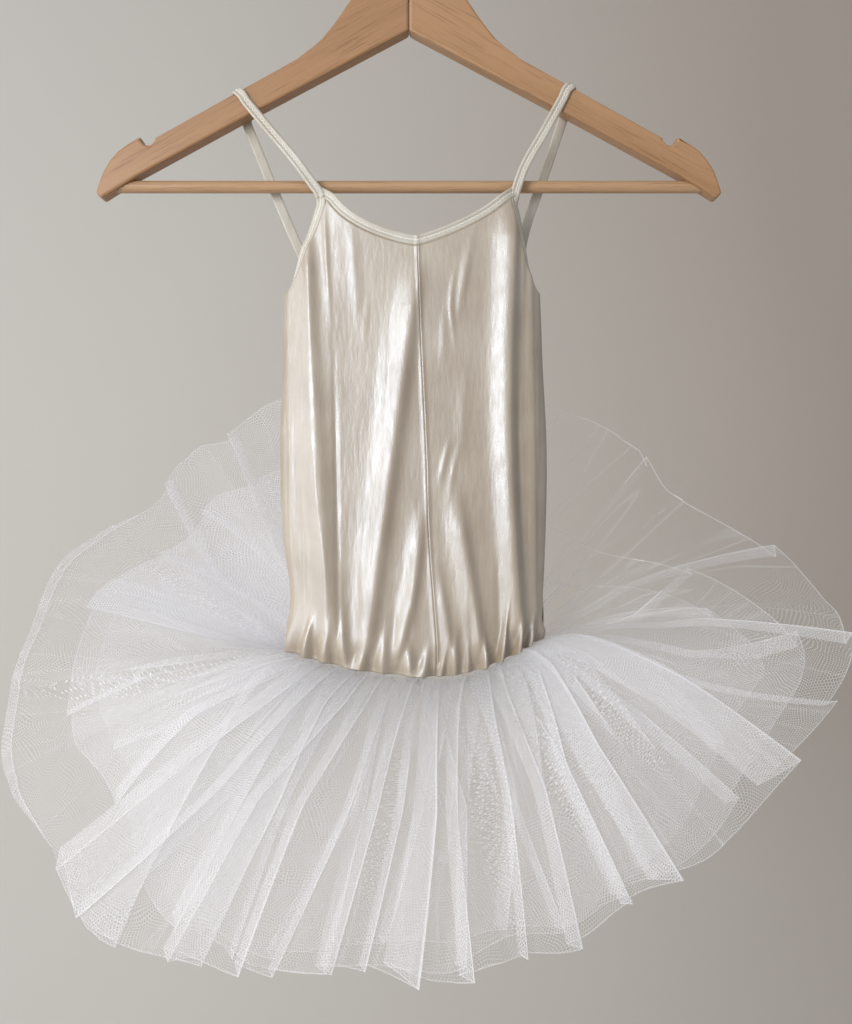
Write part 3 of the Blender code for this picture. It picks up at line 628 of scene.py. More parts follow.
def makeSatin(name, roughness, tint=(1, 1, 1), gloss=1.0):
    material, tree, shader = newMaterial(name)
    place = addNode(tree, "ShaderNodeTexCoord").outputs["Object"]
    knit = addNode(tree, "ShaderNodeGroup", {"Vector": place, "Grain": satinFinish["grain"]},
                   node_tree=knitGroup)
    dark, pale = [tuple(np.array(satinFinish[key]) * tint) for key in ("dark", "pale")]
    colour = ramp(tree, knit.outputs["Tone"], [(0.3, dark), (0.7, pale)])
    tree.links.new(colour, shader.inputs["Base Color"])
    rough = mapped(tree, knit.outputs["Crinkle"], roughness + satinFinish["smoothest"],
                   roughness + satinFinish["roughest"], 0.3, 0.7)
    tree.links.new(rough, shader.inputs["Roughness"])
    fine = addNode(tree, "ShaderNodeBump", {"Height": knit.outputs["Height"], "Strength": satinFinish["ribs"],
                                            "Distance": satinFinish["ribDepth"]})
    bump = addNode(tree, "ShaderNodeBump", {
        "Height": knit.outputs["Crinkle"], "Strength": satinFinish["crinkle"],
        "Distance": satinFinish["crinkleDepth"], "Normal": fine.outputs[0]})
    tree.links.new(bump.outputs[0], shader.inputs["Normal"])
    shader.inputs["IOR"].default_value = satinFinish["gloss"]
    shader.inputs["Specular IOR Level"].default_value = 0.5 * gloss
    shader.inputs["Specular Tint"].default_value = (*satinFinish["glossTint"], 1)
    shader.inputs["Sheen Weight"].default_value = satinFinish["sheen"]
    shader.inputs["Sheen Roughness"].default_value = satinFinish["sheenRoughness"]
    return material


satin = makeSatin("satinKnit", 0.435)
bindingCloth = makeSatin("bindingKnit", 0.5, tint=(1.22, 1.4, 1.72), gloss=0.4)


def sewPanel(name, grid, uv, flip, node):
    panel = gridMesh(name, grid, satin, uv=uv, flip=flip)
    thicken(panel, bodice["thickness"], -1)
    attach(panel, "root")
    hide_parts(node)


def addFront(side):
    sign = sides[side]
    across = np.linspace(0, 1, bodice["columns"])[:, None]
    low = bodice["waistSide"][sign]
    under = (bodice["underarm"] - low) / (bodice["neckCorner"] - low)
    upper = 1 - np.cos(np.linspace(0, math.pi / 2, bodice["armholeRows"] + 1)[1:])
    level = np.linspace(0, 1, bodice["rows"]) ** bodice["rowSpread"] * under
    level = np.concatenate([level, under + (1 - under) * upper])[None, :]
    share, height = frontPlace(sign, across, level)
    grid = clothPoint(sign, share, height, False)[0]
    uv = np.stack([share * 0.1 * sign, height * mm], -1)
    sewPanel("bodiceFront" + side.title(), grid, uv, sign < 0, "bodice_front_" + side)


def addBack():
    share = np.linspace(-1, 1, 2 * bodice["columns"] - 1)[:, None]
    level = np.linspace(0, 1, bodice["rows"])[None, :] ** bodice["rowSpread"]
    grids = []
    for sign, part in ((-1, share[:bodice["columns"] - 1]), (1, share[bodice["columns"] - 1:])):
        reach = abs(part) + 0 * level
        waist = waistHeight(sign, reach, True)
        height = waist + (backTop(reach) - waist) * level
        grids.append(clothPoint(sign, reach, height, True)[0])
    grid = np.concatenate(grids)
    uv = np.stack([share * 0.1 + 0 * level, grid[..., 2] * mm], -1)
    sewPanel("bodiceBack", grid, uv, True, "bodice_back")


for side in sides:
    addFront(side)
addBack()
print("bodice panels sewn")

binding = {
    "width": 6.8, "seat": 6.0, "thickness": 1.8, "ease": 0.15, "drop": 4.0, "inset": 0.05,
    "roll": 0.45,             # rise of the two rolled edges over the stitched valley
    "rollAt": 0.62, "rollWidth": 0.24,        # where they lie and how wide, as shares of half the width
    "flat": 0.88,             # share of the width before its edges round off
    "sink": 0.6, "stitchLift": 0.1,
    "step": 1.1,              # length of one stretch of the sweep
    "armholeSteps": 24, "neckSteps": 40, "strapSteps": 16, "cornerTrim": 3.2, "neckTrim": 3,
    # how far the armhole edge rolls inward at the corner and the underarm
    "turnIn": {-1: (0, 65), 1: (35, 75)},
    "tails": (4.0, 7.0, 10.0, 13.0), "tuck": 1.7,       # the neckband's ends run on behind the straps
}
# way of a strap between a bodice corner and its arm: distance from the middle, depth, height
strapFront = {"left": [(80, -10.7, -205), (100, -9.3, -181), (113, -8.5, -165.2)],
              "right": [(80, -10.7, -212), (94, -9.3, -186.8), (107, -8.5, -163)]}
strapBack = {"left": [(115, 8.8, -176), (98, 9.3, -218), (81, 12.5, -258)],
             "right": [(110, 8.8, -170), (98, 9.3, -206), (83, 12.5, -250)]}
strapRest = {"left": 120.5, "right": 114.0}
overArm = {"lean": 0.75, "clear": 0.45, "thick": 14.0, "round": 1.6,
           "start": (78.0, -134.0), "notch": (177.5, -189.5), "turns": (0, 15, 30, 45, 60, 75, 90)}


def besideEdge(edge, facing, inside, turnIn=0.0):
    # rows of a band sewn along a panel's edge: its middle and the way it faces
    ahead = np.gradient(edge, axis=0)
    out = unit(np.cross(ahead, facing))
    out *= np.sign((out * (edge - inside)).sum(-1))[:, None]
    angle = np.radians(turnIn + np.zeros(len(edge)))[:, None]
    across = out * np.cos(angle) - facing * np.sin(angle)
    middle = edge + across * (binding["seat"] / 2 + seamGap + binding["ease"]) - facing * binding["sink"]
    return np.concatenate([middle, facing * np.cos(angle) + out * np.sin(angle)], 1)


def armholeRows(sign):
    # from the front corner by the underarm to the back corner
    count = binding["armholeSteps"]
    low = bodice["waistSide"][sign]
    whole = bodice["neckCorner"] - low
    under = (bodice["underarm"] - low) / whole
    level = under + (1 - under) * (1 - np.sin(np.linspace(0, math.pi / 2, count)))
    share, height = frontPlace(sign, 1.0, level)
    front, frontFacing = clothPoint(sign, share, height, False)
    frontInside = clothPoint(sign, share - binding["inset"], height - binding["drop"], False)[0]
    share = np.linspace(1, bodice["backCornerShare"], count)[1:]
    back, backFacing = clothPoint(sign, share, backTop(share), True)
    backInside = clothPoint(sign, share, backTop(share) - binding["drop"], True)[0]
    atCorner, atUnderarm = binding["turnIn"][sign]
    way = np.linspace(0, 1, count)
    frontTurn = atCorner + (atUnderarm - atCorner) * way ** 0.8
    backTurn = atUnderarm * (1 - way[1:])
    return besideEdge(np.concatenate([front, back]), np.concatenate([frontFacing, backFacing]),
                      np.concatenate([frontInside, backInside]), np.concatenate([frontTurn, backTurn]))


def neckRows(back):
    rows = []
    for sign in (-1, 1):
        across = np.linspace(0, 1, binding["neckSteps"])
        if sign < 0:
            across = across[:0:-1]
        share = across * (bodice["backCornerShare"] if back else bodice["cornerShare"][sign])
        height = backTop(share) if back else neckHeight(sign, across)
        edge, facing = clothPoint(sign, share, height, back)
        inside = clothPoint(sign, share, height - binding["drop"], back)[0]
        rows.append((edge, facing, inside))
    edge, facing, inside = [np.concatenate([rows[0][i], rows[1][i]]) for i in range(3)]
    band = besideEdge(edge, facing, inside)
    tails = {}
    for side, sign in sides.items():
        armhole = armholeRows(sign)
        strap = strapRows(side, armhole[0, :3], armhole[-1, :3])
        strap = strap[::-1] if back else strap
        tail = through(walkAlong(strap), strap, np.array(binding["tails"]))
        tail[:, :3] -= tail[:, 3:] * binding["tuck"]
        tails[side] = tail
    trim = binding["neckTrim"]
    rows = np.concatenate([tails["left"][::-1], band[trim:-trim], tails["right"]])
    walk = walkAlong(rows)
    return through(walk, rows, np.linspace(0, walk[-1], int(walk[-1] / binding["step"])))


def overTheArm(side):
    # rows of a strap where it bends over its arm, front to back
    sign = sides[side]
    startX, startZ = overArm["start"]
    notchX, notchZ = overArm["notch"]
    slope = (startZ - notchZ) / (notchX - startX)
    slant = math.hypot(1, slope)
    clear = binding["thickness"] / 2 + overArm["clear"]
    bend = overArm["round"] + clear
    rows = []
    for way, turns in ((-1, overArm["turns"]), (1, overArm["turns"][::-1])):
        for turn in turns:
            angle = math.radians(turn)
            depth = way * (overArm["thick"] / 2 - overArm["round"] + bend * math.cos(angle))
            lift = (bend * math.sin(angle) - overArm["round"]) * slant
            out = strapRest[side] + overArm["lean"] * (lift - clear)
            top = startZ - slope * (out - startX)
            tilt = math.sin(angle) / slant
            rows.append((sign * out, depth, top + lift, sign * slope * tilt, way * math.cos(angle), tilt))
    return np.array(rows)


def strapRows(side, frontCorner, backCorner):
    mirror = np.array([sides[side], 1, 1])
    runs = []
    for corner, points, way in ((frontCorner, np.array(strapFront[side]) * mirror, -1),
                                (backCorner, np.array(strapBack[side])[::-1] * mirror, 1)):
        run = resample(np.vstack([corner, points]), binding["strapSteps"])[1:]
        runs.append(np.concatenate([run, np.tile([0.0, way, 0.0], (len(run), 1))], 1))
    return np.concatenate([runs[0], overTheArm(side), runs[1][::-1]])


def armholeLoop(side):
    # one length of binding: up from the front corner, over the arm, down and round the armhole
    armhole = armholeRows(sides[side])
    strap = strapRows(side, armhole[0, :3], armhole[-1, :3])
    walk = walkAlong(armhole)
    kept = (walk > binding["cornerTrim"]) & (walk < walk[-1] - binding["cornerTrim"])
    loop = np.concatenate([strap, armhole[kept][::-1]])
    walk = walkAlong(np.concatenate([loop, loop[:1]]))
    frontCorner = (walk[-2] + walk[-1]) / 2 - walk[-1]
    backCorner = (walk[len(strap) - 1] + walk[len(strap)]) / 2
    pieces = []
    for start, end in ((frontCorner, backCorner), (backCorner, frontCorner + walk[-1])):
        places = np.linspace(start, end, int((end - start) / binding["step"]))
        pieces.append(through(walk[:-1], loop, places, walk[-1]))
    return pieces


def bandSection():
    # outline of a folded band: two rolled edges with a stitched valley between them
    half = binding["width"] / 2
    thick = binding["thickness"] / 2
    flat = binding["flat"]
    top = []
    for across in np.linspace(-flat, flat, 17):
        roll = binding["roll"] * math.exp(-((abs(across) - binding["rollAt"]) / binding["rollWidth"]) ** 2)
        top.append((across * half, thick * 0.5 + roll))
    right = []
    for degrees in (50, 15, -20, -55):
        angle = math.radians(degrees)
        right.append((half * (flat + (1 - flat) * math.cos(angle)), thick * 0.7 * math.sin(angle)))
    under = [(across * half, -thick * 0.75) for across in np.linspace(0.86, -0.86, 7)]
    left = [(-across, up) for across, up in reversed(right)]
    return top + right + under + left


def addBand(name, rows, node):
    # sweep of the section along rows of middle and facing
    middle = rows[:, :3]
    ahead = unit(np.gradient(middle, axis=0))
    up = rows[:, 3:] - ahead * (rows[:, 3:] * ahead).sum(-1, keepdims=True)
    up = unit(up)
    across = np.cross(ahead, up)
    grid = np.stack([middle + across * a + up * u for a, u in bandSection()])
    band = gridMesh(name, grid, bindingCloth, ringed=True)
    work = bmesh.new()
    work.from_mesh(band.data)
    bmesh.ops.holes_fill(work, edges=[edge for edge in work.edges if edge.is_boundary])
    bmesh.ops.recalc_face_normals(work, faces=work.faces)
    work.to_mesh(band.data)
    work.free()
    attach(band, "root")
    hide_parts(node)
    valley = middle + up * (binding["thickness"] / 4 + binding["stitchLift"])
    return np.concatenate([valley, ahead, up], 1)


stitchRuns = []
for label, back in (("Front", False), ("Back", True)):
    node = "neck_binding_" + label.lower()
    stitchRuns.append(addBand("neckBinding" + label, neckRows(back), node))
for side in sides:
    strap, armhole = armholeLoop(side)
    stitchRuns.append(addBand("strap" + side.title(), strap, "strap_" + side))
    stitchRuns.append(addBand("armholeBinding" + side.title(), armhole, "armhole_binding_" + side))
print("bindings and straps sewn")

stitches = {"spacing": 1.5, "length": 2.1, "radius": 0.25, "slant": 40.0}
threadFinish = {"colour": (0.93, 0.92, 0.89), "roughness": 0.55, "twist": 900.0}


def makeThread():
    material, tree, shader = newMaterial("sewingThread")
    place = addNode(tree, "ShaderNodeTexCoord").outputs["Object"]
    twist = addNode(tree, "ShaderNodeTexWave", {"Vector": place, "Scale": threadFinish["twist"],
                                                "Distortion": 1.0})
    colour = np.array(threadFinish["colour"])
    shade = ramp(tree, twist.outputs["Fac"], [(0.0, tuple(colour * 0.9)), (1.0, tuple(colour))])
    tree.links.new(shade, shader.inputs["Base Color"])
    shader.inputs["Roughness"].default_value = threadFinish["roughness"]
    return material


def stitchTree(material):
    # one slanted stitch at every step of a path, leaning to and fro
    tree = bpy.data.node_groups.new("zigzagStitches", "GeometryNodeTree")
    tree.interface.new_socket("Path", in_out="INPUT", socket_type="NodeSocketGeometry")
    sockets = {}
    for label in ("Spacing", "Length", "Radius", "Slant"):
        socket = tree.interface.new_socket(label, in_out="INPUT", socket_type="NodeSocketFloat")
        sockets[label] = socket.identifier
    tree.interface.new_socket("Stitches", in_out="OUTPUT", socket_type="NodeSocketGeometry")
    start = tree.nodes.new("NodeGroupInput")
    end = tree.nodes.new("NodeGroupOutput")
    curve = addNode(tree, "GeometryNodeMeshToCurve", {"Mesh": start.outputs["Path"]})
    evened = addNode(tree, "GeometryNodeResampleCurve", {"Curve": curve.outputs[0],
                                                         "Length": start.outputs["Spacing"]}, mode="LENGTH")
    facing = addNode(tree, "GeometryNodeInputNamedAttribute", {"Name": "facing"}, data_type="FLOAT_VECTOR")
    tangent = tree.nodes.new("GeometryNodeInputTangent")
    upright = addNode(tree, "FunctionNodeAlignRotationToVector", {"Vector": facing.outputs["Attribute"]},
                      axis="Z")
    along = addNode(tree, "FunctionNodeAlignRotationToVector", {"Rotation": upright.outputs[0],
                    "Vector": tangent.outputs[0]}, axis="X", pivot_axis="Z")
    number = tree.nodes.new("GeometryNodeInputIndex")
    odd = calculate(tree, "MODULO", number.outputs[0], 2.0)
    swing = calculate(tree, "MULTIPLY_ADD", odd, 2.0, -1.0)
    angle = calculate(tree, "MULTIPLY", swing, start.outputs["Slant"])
    axis = addNode(tree, "FunctionNodeAxisAngleToRotation", {"Axis": (0, 0, 1), "Angle": angle})
    turned = addNode(tree, "FunctionNodeRotateRotation", {"Rotation": along.outputs[0],
                     "Rotate By": axis.outputs[0]}, rotation_space="LOCAL")
    ball = addNode(tree, "GeometryNodeMeshUVSphere", {"Segments": 6, "Rings": 5,
                                                      "Radius": start.outputs["Radius"]})
    stretch = calculate(tree, "DIVIDE", start.outputs["Length"], start.outputs["Radius"])
    half = calculate(tree, "MULTIPLY", stretch, 0.5)
    size = addNode(tree, "ShaderNodeCombineXYZ", {"X": half, "Y": 1.0, "Z": 0.8})
    placed = addNode(tree, "GeometryNodeInstanceOnPoints", {
        "Points": evened.outputs[0], "Instance": ball.outputs["Mesh"], "Rotation": turned.outputs[0],
        "Scale": size.outputs[0]})
    realized = addNode(tree, "GeometryNodeRealizeInstances", {"Geometry": placed.outputs[0]})
    dressed = addNode(tree, "GeometryNodeSetMaterial", {"Geometry": realized.outputs[0],
                                                        "Material": material})
    tree.links.new(dressed.outputs[0], end.inputs[0])
    return tree, sockets


def addStitches():
    tree, sockets = stitchTree(makeThread())
    points = np.concatenate([run[:, :3] for run in stitchRuns]) * mm
    facing = np.concatenate([run[:, 6:] for run in stitchRuns])
    edges = []
    first = 0
    for run in stitchRuns:
        edges += [(first + i, first + i + 1) for i in range(len(run) - 1)]
        first += len(run)
    mesh = bpy.data.meshes.new("stitchPath")
    mesh.from_pydata(points.tolist(), edges, [])
    attribute = mesh.attributes.new("facing", "FLOAT_VECTOR", "POINT")
    attribute.data.foreach_set("vector", facing.astype(np.float32).reshape(-1))
    path = bpy.data.objects.new("stitchPath", mesh)
    scene.collection.objects.link(path)
    work = path.modifiers.new("stitches", "NODES")
    work.node_group = tree
    work[sockets["Spacing"]] = stitches["spacing"] * mm
    work[sockets["Length"]] = stitches["length"] * mm
    work[sockets["Radius"]] = stitches["radius"] * mm
    work[sockets["Slant"]] = math.radians(stitches["slant"])
    bpy.context.view_layer.update()
    result = bpy.data.meshes.new_from_object(path.evaluated_get(bpy.context.evaluated_depsgraph_get()))
    piece = bpy.data.objects.new("bindingStitches", result)
    scene.collection.objects.link(piece)
    bpy.data.objects.remove(path, do_unlink=True)
    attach(piece, "root")
    print("stitches:", len(result.polygons), "faces")


addStitches()

net = {
    "wall": 1.0, "pleats": 42, "crowding": 0.32, "rise": 5.264,
    "steady": 0.62,           # share of the rise before its unevenness
    "rootTuck": 1.2, "rootStep": 1.35, "layerStep": 15.0, "dip": 0.055,
    "springFront": 30.0, "springSide": 52.0, "springBack": 36.0,
    "returnAt": 0.81,         # where in a pleat the cloth runs back under itself
    "rows": 44, "rowSpread": 1.25, "curlRows": 9, "rootRise": 0.45,
    "knees": (0.0, 0.34, 0.68, 1.0),
    "stray": (0.0, 0.3, 0.62, 0.7),       # how far fold lines stray at the knees, in pleats
    "jitter": 0.36,           # how much of that each fold line does by itself
    "crinkle": 0.9,           # small unevenness of the stiff net
    "corner": 0.01,           # how much the hem's corners stand out
    "swingFrom": 0.8,         # where down the inner layers their folds cross the top layer's
    "pressed": 0.8,           # extra plies where a fold is pressed flat
    "pressedWidth": 6.0,      # overlap in mm that is pressed all the way
    "curlHeight": 1.2, "curlReach": 0.64, "sharp": 40.0,
    "shadeThinRoot": 0.5,          # the threads are drawn this much thinner at the waist, so more dark shows through there, which stands in for the shade under the bodice
    "fullFrom": 0.7,          # and reach their full thickness this far down
    "shadeReach": 0.5, "mostPlies": 6,
}
# an ordinary pleat: overlap at waist, middle and hem in mm, size, and how its panel bows
softPleat = {"knots": (0, 0.42, 1), "overlap": ((15, 23), (4, 13), (-20, -8)), "size": (0.1, 0.4),
             "crest": (-0.4, 0.5), "trough": (-0.5, 0.4), "bow": (0.75, 1.35)}
# each layer's strong folds: turn at the hem, overlap at hem and middle in mm, size
mainFolds = [
    (11.5, 10, 9, 1.0), (23.5, 5, 7, 0.6), (33.5, 9, 9, 0.8), (45, 6, 8, 0.6), (53, 18, 16, 1.1),
    (76.5, 30, 23, 1.4), (85, 5, 7, 0.6), (93, 7, 7, 0.7), (110, 9, 7, 0.8), (139, 5, 5, 0.5),
    (186, 9, 9, 0.7), (214, 7, 8, 0.7), (236, 6, 8, 0.6), (300, 9, 10, 0.8), (308, 6, 8, 0.6),
    (316, 4, 6, 0.35), (324, 9, 9, 0.9), (329.5, 5, 7, 0.7), (335, 8, 8, 0.9), (340, 5, 6, 0.6),
    (347.5, 9, 9, 0.9), (352.5, 5, 7, 0.6), (358.5, 24, 12, 1.2),
]
middleFolds = [
    (5, 8, 8, 0.7), (28, 6, 7, 0.6), (40, 9, 10, 0.8), (66, 8, 9, 0.7), (88, 10, 10, 0.8), (104, 6, 7, 0.6),
    (205, 9, 10, 0.7), (224, 7, 8, 0.7), (240, 9, 10, 0.8), (256, 36, 28, 1.3), (275, 6, 7, 0.6),
    (292, 9, 10, 0.8), (316, 9, 8, 0.8), (328, 6, 7, 0.6), (343, 9, 9, 0.8),
]
underFolds = [
    (16, 9, 8, 0.8), (50, 8, 9, 0.7), (72, 9, 10, 0.8), (97, 7, 7, 0.6), (200, 8, 8, 0.7), (230, 9, 10, 0.8),
    (248, 7, 8, 0.6), (268, 9, 9, 0.8), (285, 6, 7, 0.6), (306, 9, 8, 0.8), (334, 9, 9, 0.8),
    (352, 6, 7, 0.6),
]
# crumpled plies of the two inner layers: turn plies
crumple = np.array([
    (0, 0), (30, 0), (60, 0.3), (80, 0.5), (100, 0.2), (125, 0), (150, 0), (175, 0.3), (195, 1.2),
    (220, 3.6), (240, 4.6), (255, 4.2), (268, 1.2), (282, 1.2), (300, 1.3), (320, 0.8), (340, 0.2),
], float)
# thickness of the net's threads round the skirt, partly the net's own sheerness and partly standing in for
# light and shade: thinner at the front and round the shaded right, thicker round the lit left: turn share
threadAndLightShare = np.array([
    (0, 0.55), (20, 0.62), (42, 0.9), (60, 1), (85, 0.85), (100, 0.42), (120, 0.1), (150, 0.1),
    (172, 0.8), (190, 1.1), (220, 1.35), (245, 1.35), (262, 0.88), (290, 0.95), (315, 1), (340, 0.66),
], float)
# painted shade on the net round the waist, darkest at the front under the bodice: turn share
shadeShare = np.array([
    (0, 1), (40, 0.9), (75, 0.3), (100, 0.3), (140, 0.6), (180, 0.3), (230, 0), (285, 0.1), (320, 0.7),
], float)
# where the top layer's hem curls over: turn share
curlShare = np.array([
    (0, 0), (60, 0), (100, 0.2), (120, 0), (240, 0.2), (255, 0.8), (270, 1), (284, 1), (300, 0.3), (320, 0),
], float)
# height of the net's hump over the waist: turn rise
hump = np.array([
    (0, 0), (35, 4), (60, 20), (80, 26), (100, 12), (130, 0), (230, 0), (265, 4), (285, 8), (320, 2),
], float)
# the top layer's hem: turn across depth height
hem = np.array([
    (0, 2, -117, -731),
    (20, 60, -117, -720),
    (40, 121, -107, -703),
    (60, 187, -86, -671),
    (75, 237, -65, -630),
    (90, 293, -35, -550),
    (105, 281, 5, -492),
    (120, 226, 33, -455),
    (140, 173, 48, -412),
    (160, 100, 54, -376),
    (180, 2, 56, -366),
    (200, -92, 54, -373),
    (220, -146, 46, -405),
    (240, -184, 30, -438),
    (255, -222, 0, -466),
    (262.5, -252, -18, -489),
    (270, -268, -35, -540),
    (285, -266, -60, -619),
    (300, -222, -85, -671),
    (320, -163, -106, -719),
    (340, -82, -116, -729),
], float)
# how far each layer reaches: turn top middle under
reach = np.array([
    (0, 1, 0.98, 0.95),
    (60, 1, 0.97, 0.94),
    (95, 1, 0.91, 0.82),
    (135, 1, 0.76, 0.62),
    (180, 1, 0.82, 0.7),
    (225, 1, 0.9, 0.8),
    (262, 1, 0.85, 0.77),
    (290, 1, 0.84, 0.8),
    (325, 1, 0.97, 0.94),
], float)
# waves round the skirt: count size start shift
pleatDrift = [(5, 0.3, 1, 0), (11, 0.1, 1.6, 0), (17, 0.04, 3, 0)]
pleatUneven = [(7, 0.24, 0, 1), (15, 0.2, 2, 0)]
hemUneven = [(5, 0.012, 0, 2), (13, 0.01, 0, 0)]
layers = {
    "tulleTop": {"node": "tulle_top", "depth": 0, "shift": 0.0, "seed": 3, "folds": mainFolds,
                 "crumple": 0.0, "curl": 0.035, "swing": 0.0},
    "tulleMiddle": {"node": "tulle_middle", "depth": 1, "shift": 0.4, "seed": 8, "folds": middleFolds,
                    "crumple": 0.8, "curl": 0.05, "swing": 1.3},
    "tulleUnder": {"node": "tulle_under", "depth": 2, "shift": 0.75, "seed": 21, "folds": underFolds,
                   "crumple": 1.0, "curl": 0.05, "swing": -1.2},
}
# one pleat: shares of its panel, then shares of the return under the fold
panelSteps = np.array([0.0, 0.035, 0.1, 0.22, 0.36, 0.5, 0.64, 0.78, 0.9, 0.965])
returnSteps = np.array([0.0, 0.15, 0.5, 0.85])


def unevenness(waves, turn, depth=0):
    total = 0 * turn
    for count, size, start, shift in waves:
        total = total + size * np.sin(count * np.radians(turn) + start + shift * depth)
    return total


def waistPoint(turn):
    turn = np.mod(turn + 180, 360) - 180
    sign = np.where(turn < 0, -1, 1)
    back = abs(turn) > 90
    share = np.where(back, (180 - abs(turn)) / 90, abs(turn) / 90)
    return skin(sign, share, waistHeight(sign, share, back), back)


def around(table, turn):
    # a table's values at places round the skirt
    values = table[:, 1] if table.shape[1] == 2 else table[:, 1:]
    return through(table[:, 0], values, turn, 360)


def springAt(turn):
    values = [net["springFront"], net["springSide"], net["springBack"], net["springSide"]]
    return through([0, 90, 180, 270], values, turn, 360)


def netPoint(turn, along):
    # middle surface of the top layer before it is pleated
    seam, out = waistPoint(turn)
    root = seam - out * net["rootTuck"] - np.array([0, 0, seamGap + net["wall"] / 2])
    edge = around(hem, turn)
    drop = net["dip"] * np.maximum(0.0, edge[..., 2] - seam[..., 2])
    stand = seam + out * springAt(turn)[..., None]
    stand[..., 2] += around(hump, turn) - drop
    along = np.asarray(along)[..., None]
    return root * (1 - along) ** 2 + stand * 2 * along * (1 - along) + edge * along ** 2


def netFacing(turn, along):
    alongWay = netPoint(turn, along + 0.01) - netPoint(turn, along - 0.01)
    roundWay = netPoint(turn + 1, along) - netPoint(turn - 1, along)
    return -unit(np.cross(roundWay, alongWay))


def pleatPhase(turn):
    crowding = net["crowding"] * np.sin(np.radians(turn)) / (2 * math.pi)
    return net["pleats"] * (turn / 360 + crowding) + unevenness(pleatDrift, turn)


phaseTurns = np.linspace(-60, 420, 4801)
phaseTable = pleatPhase(phaseTurns)


def turnAt(phase):
    return np.interp(phase, phaseTable, phaseTurns)


def hemShare(turn, depth):
    share = through(reach[:, 0], reach[:, 1 + depth], turn, 360)
    return share * (1 + unevenness(hemUneven, turn, depth))


def sharedDrift(dice):
    # random numbers, a row for each knee, that neighbouring pleats share
    drift = dice.normal(size=(len(net["knees"]), net["pleats"]))
    for _ in range(3):
        drift = (np.roll(drift, 1, axis=1) + 2 * drift + np.roll(drift, -1, axis=1)) / 4
    return drift / abs(drift).max(axis=1, keepdims=True)


def pleatPlan(dice, folds):
    # each pleat's overlap at waist, middle and hem in mm, its size, its stray and its hem corners
    count = net["pleats"]
    stray = sharedDrift(dice) * (1 - net["jitter"])
    stray += dice.uniform(-1, 1, stray.shape) * net["jitter"] * 2
    plan = {
        "overlap": np.stack([dice.uniform(*limits, count) for limits in softPleat["overlap"]]),
        "size": dice.uniform(*softPleat["size"], count),
        "strong": np.zeros(count),
        "stray": stray * np.array(net["stray"])[:, None],
        "crest": dice.uniform(*softPleat["crest"], count) * net["corner"],
        "trough": dice.uniform(*softPleat["trough"], count) * net["corner"],
        "bow": dice.uniform(*softPleat["bow"], count),
    }
    # the widest folds choose first, each the free pleat nearest to its place
    free = set(range(count))
    for turn, hemWidth, midWidth, size in sorted(folds, key=lambda fold: -fold[1]):
        place = pleatPhase(turn) - net["returnAt"]
        k = min(free, key=lambda number: abs((place - number + count / 2) % count - count / 2))
        free.remove(k)
        away = (place - k + count / 2) % count - count / 2
        plan["overlap"][1:, k] = midWidth, hemWidth
        plan["size"][k] = size * 0.9
        plan["strong"][k] = min(1, size)
        plan["stray"][3, k] = away
        plan["stray"][2, k] += away * 0.6
        plan["crest"][k] = net["corner"] * size * 1.2
        plan["trough"][k] = -net["corner"] * size
    return plan


def overlapAt(plan, v):
    return through(softPleat["knots"], plan["overlap"], v)      # rows of v, columns of pleats


def strayAt(plan, v):
    return np.stack([np.interp(v, net["knees"], column) for column in plan["stray"].T], 1)


def pleatRows(dice, plan, v, centre, overlap, pitch):
    # the points of every pleat round the skirt, row by row down it: its panel, then its return
    crest = centre + overlap / 2
    trough = centre - overlap / 2
    before = np.roll(trough, 1, axis=1)
    before[:, 0] -= net["pleats"]
    size = plan["size"]
    lastSize = np.roll(size, 1)
    lastTrough = np.roll(plan["trough"], 1)
    opened = np.clip(3 - overlap * pitch, 0, 2)      # no fold line is seen where a pleat has opened
    rows = {"phase": [], "height": [], "corner": [], "fold": [], "pressed": []}

    def addPoint(*values):
        for row, value in zip(rows.values(), values):
            row.append(value + 0 * v)

    for k in range(net["pleats"]):
        # a soft fold is sharp enough to show as a line here and there only
        soft = np.sin(v * dice.uniform(3, 10) + dice.uniform(0, 6.3)) * 2 + dice.uniform(-0.6, 0.6)
        faint = opened[:, k] + 2 * np.clip(soft + 1.1 - 3 * plan["strong"][k], 0, 1)
        for q in panelSteps:
            bowed = 2 * q ** plan["bow"][k] - 1
            addPoint(before[:, k] + (crest[:, k] - before[:, k]) * q,
                     bowed * (lastSize[k] + (size[k] - lastSize[k]) * q),
                     lastTrough[k] + (plan["crest"][k] - lastTrough[k]) * q,
                     (1 - q) * pitch[:, k] + faint, 0)
        flat = np.clip(overlap[:, k] * pitch[:, k] / net["pressedWidth"], 0, 1)
        for r in returnSteps:
            addPoint(crest[:, k] + (trough[:, k] - crest[:, k]) * r,
                     (1 - 2 * r) * size[k],
                     plan["crest"][k] + (plan["trough"][k] - plan["crest"][k]) * r,
                     r * 0.5 * pitch[:, k] + faint,
                     flat * net["pressed"] * v * plan["strong"][k])
    return [np.array(row) for row in rows.values()]


def clothWalks(grid):
    # in metres: steps round the skirt, the walk round its hem, the walk down from the waist
    steps = np.linalg.norm(np.diff(grid, axis=0, append=grid[:1]), axis=-1) * mm
    hemWalk = np.concatenate([[0], np.cumsum(steps[:, -1])])
    downSteps = np.linalg.norm(np.diff(grid, axis=1), axis=-1) * mm
    length = np.concatenate([np.zeros((len(grid), 1)), np.cumsum(downSteps, axis=1)], axis=1)
    return steps, hemWalk, length


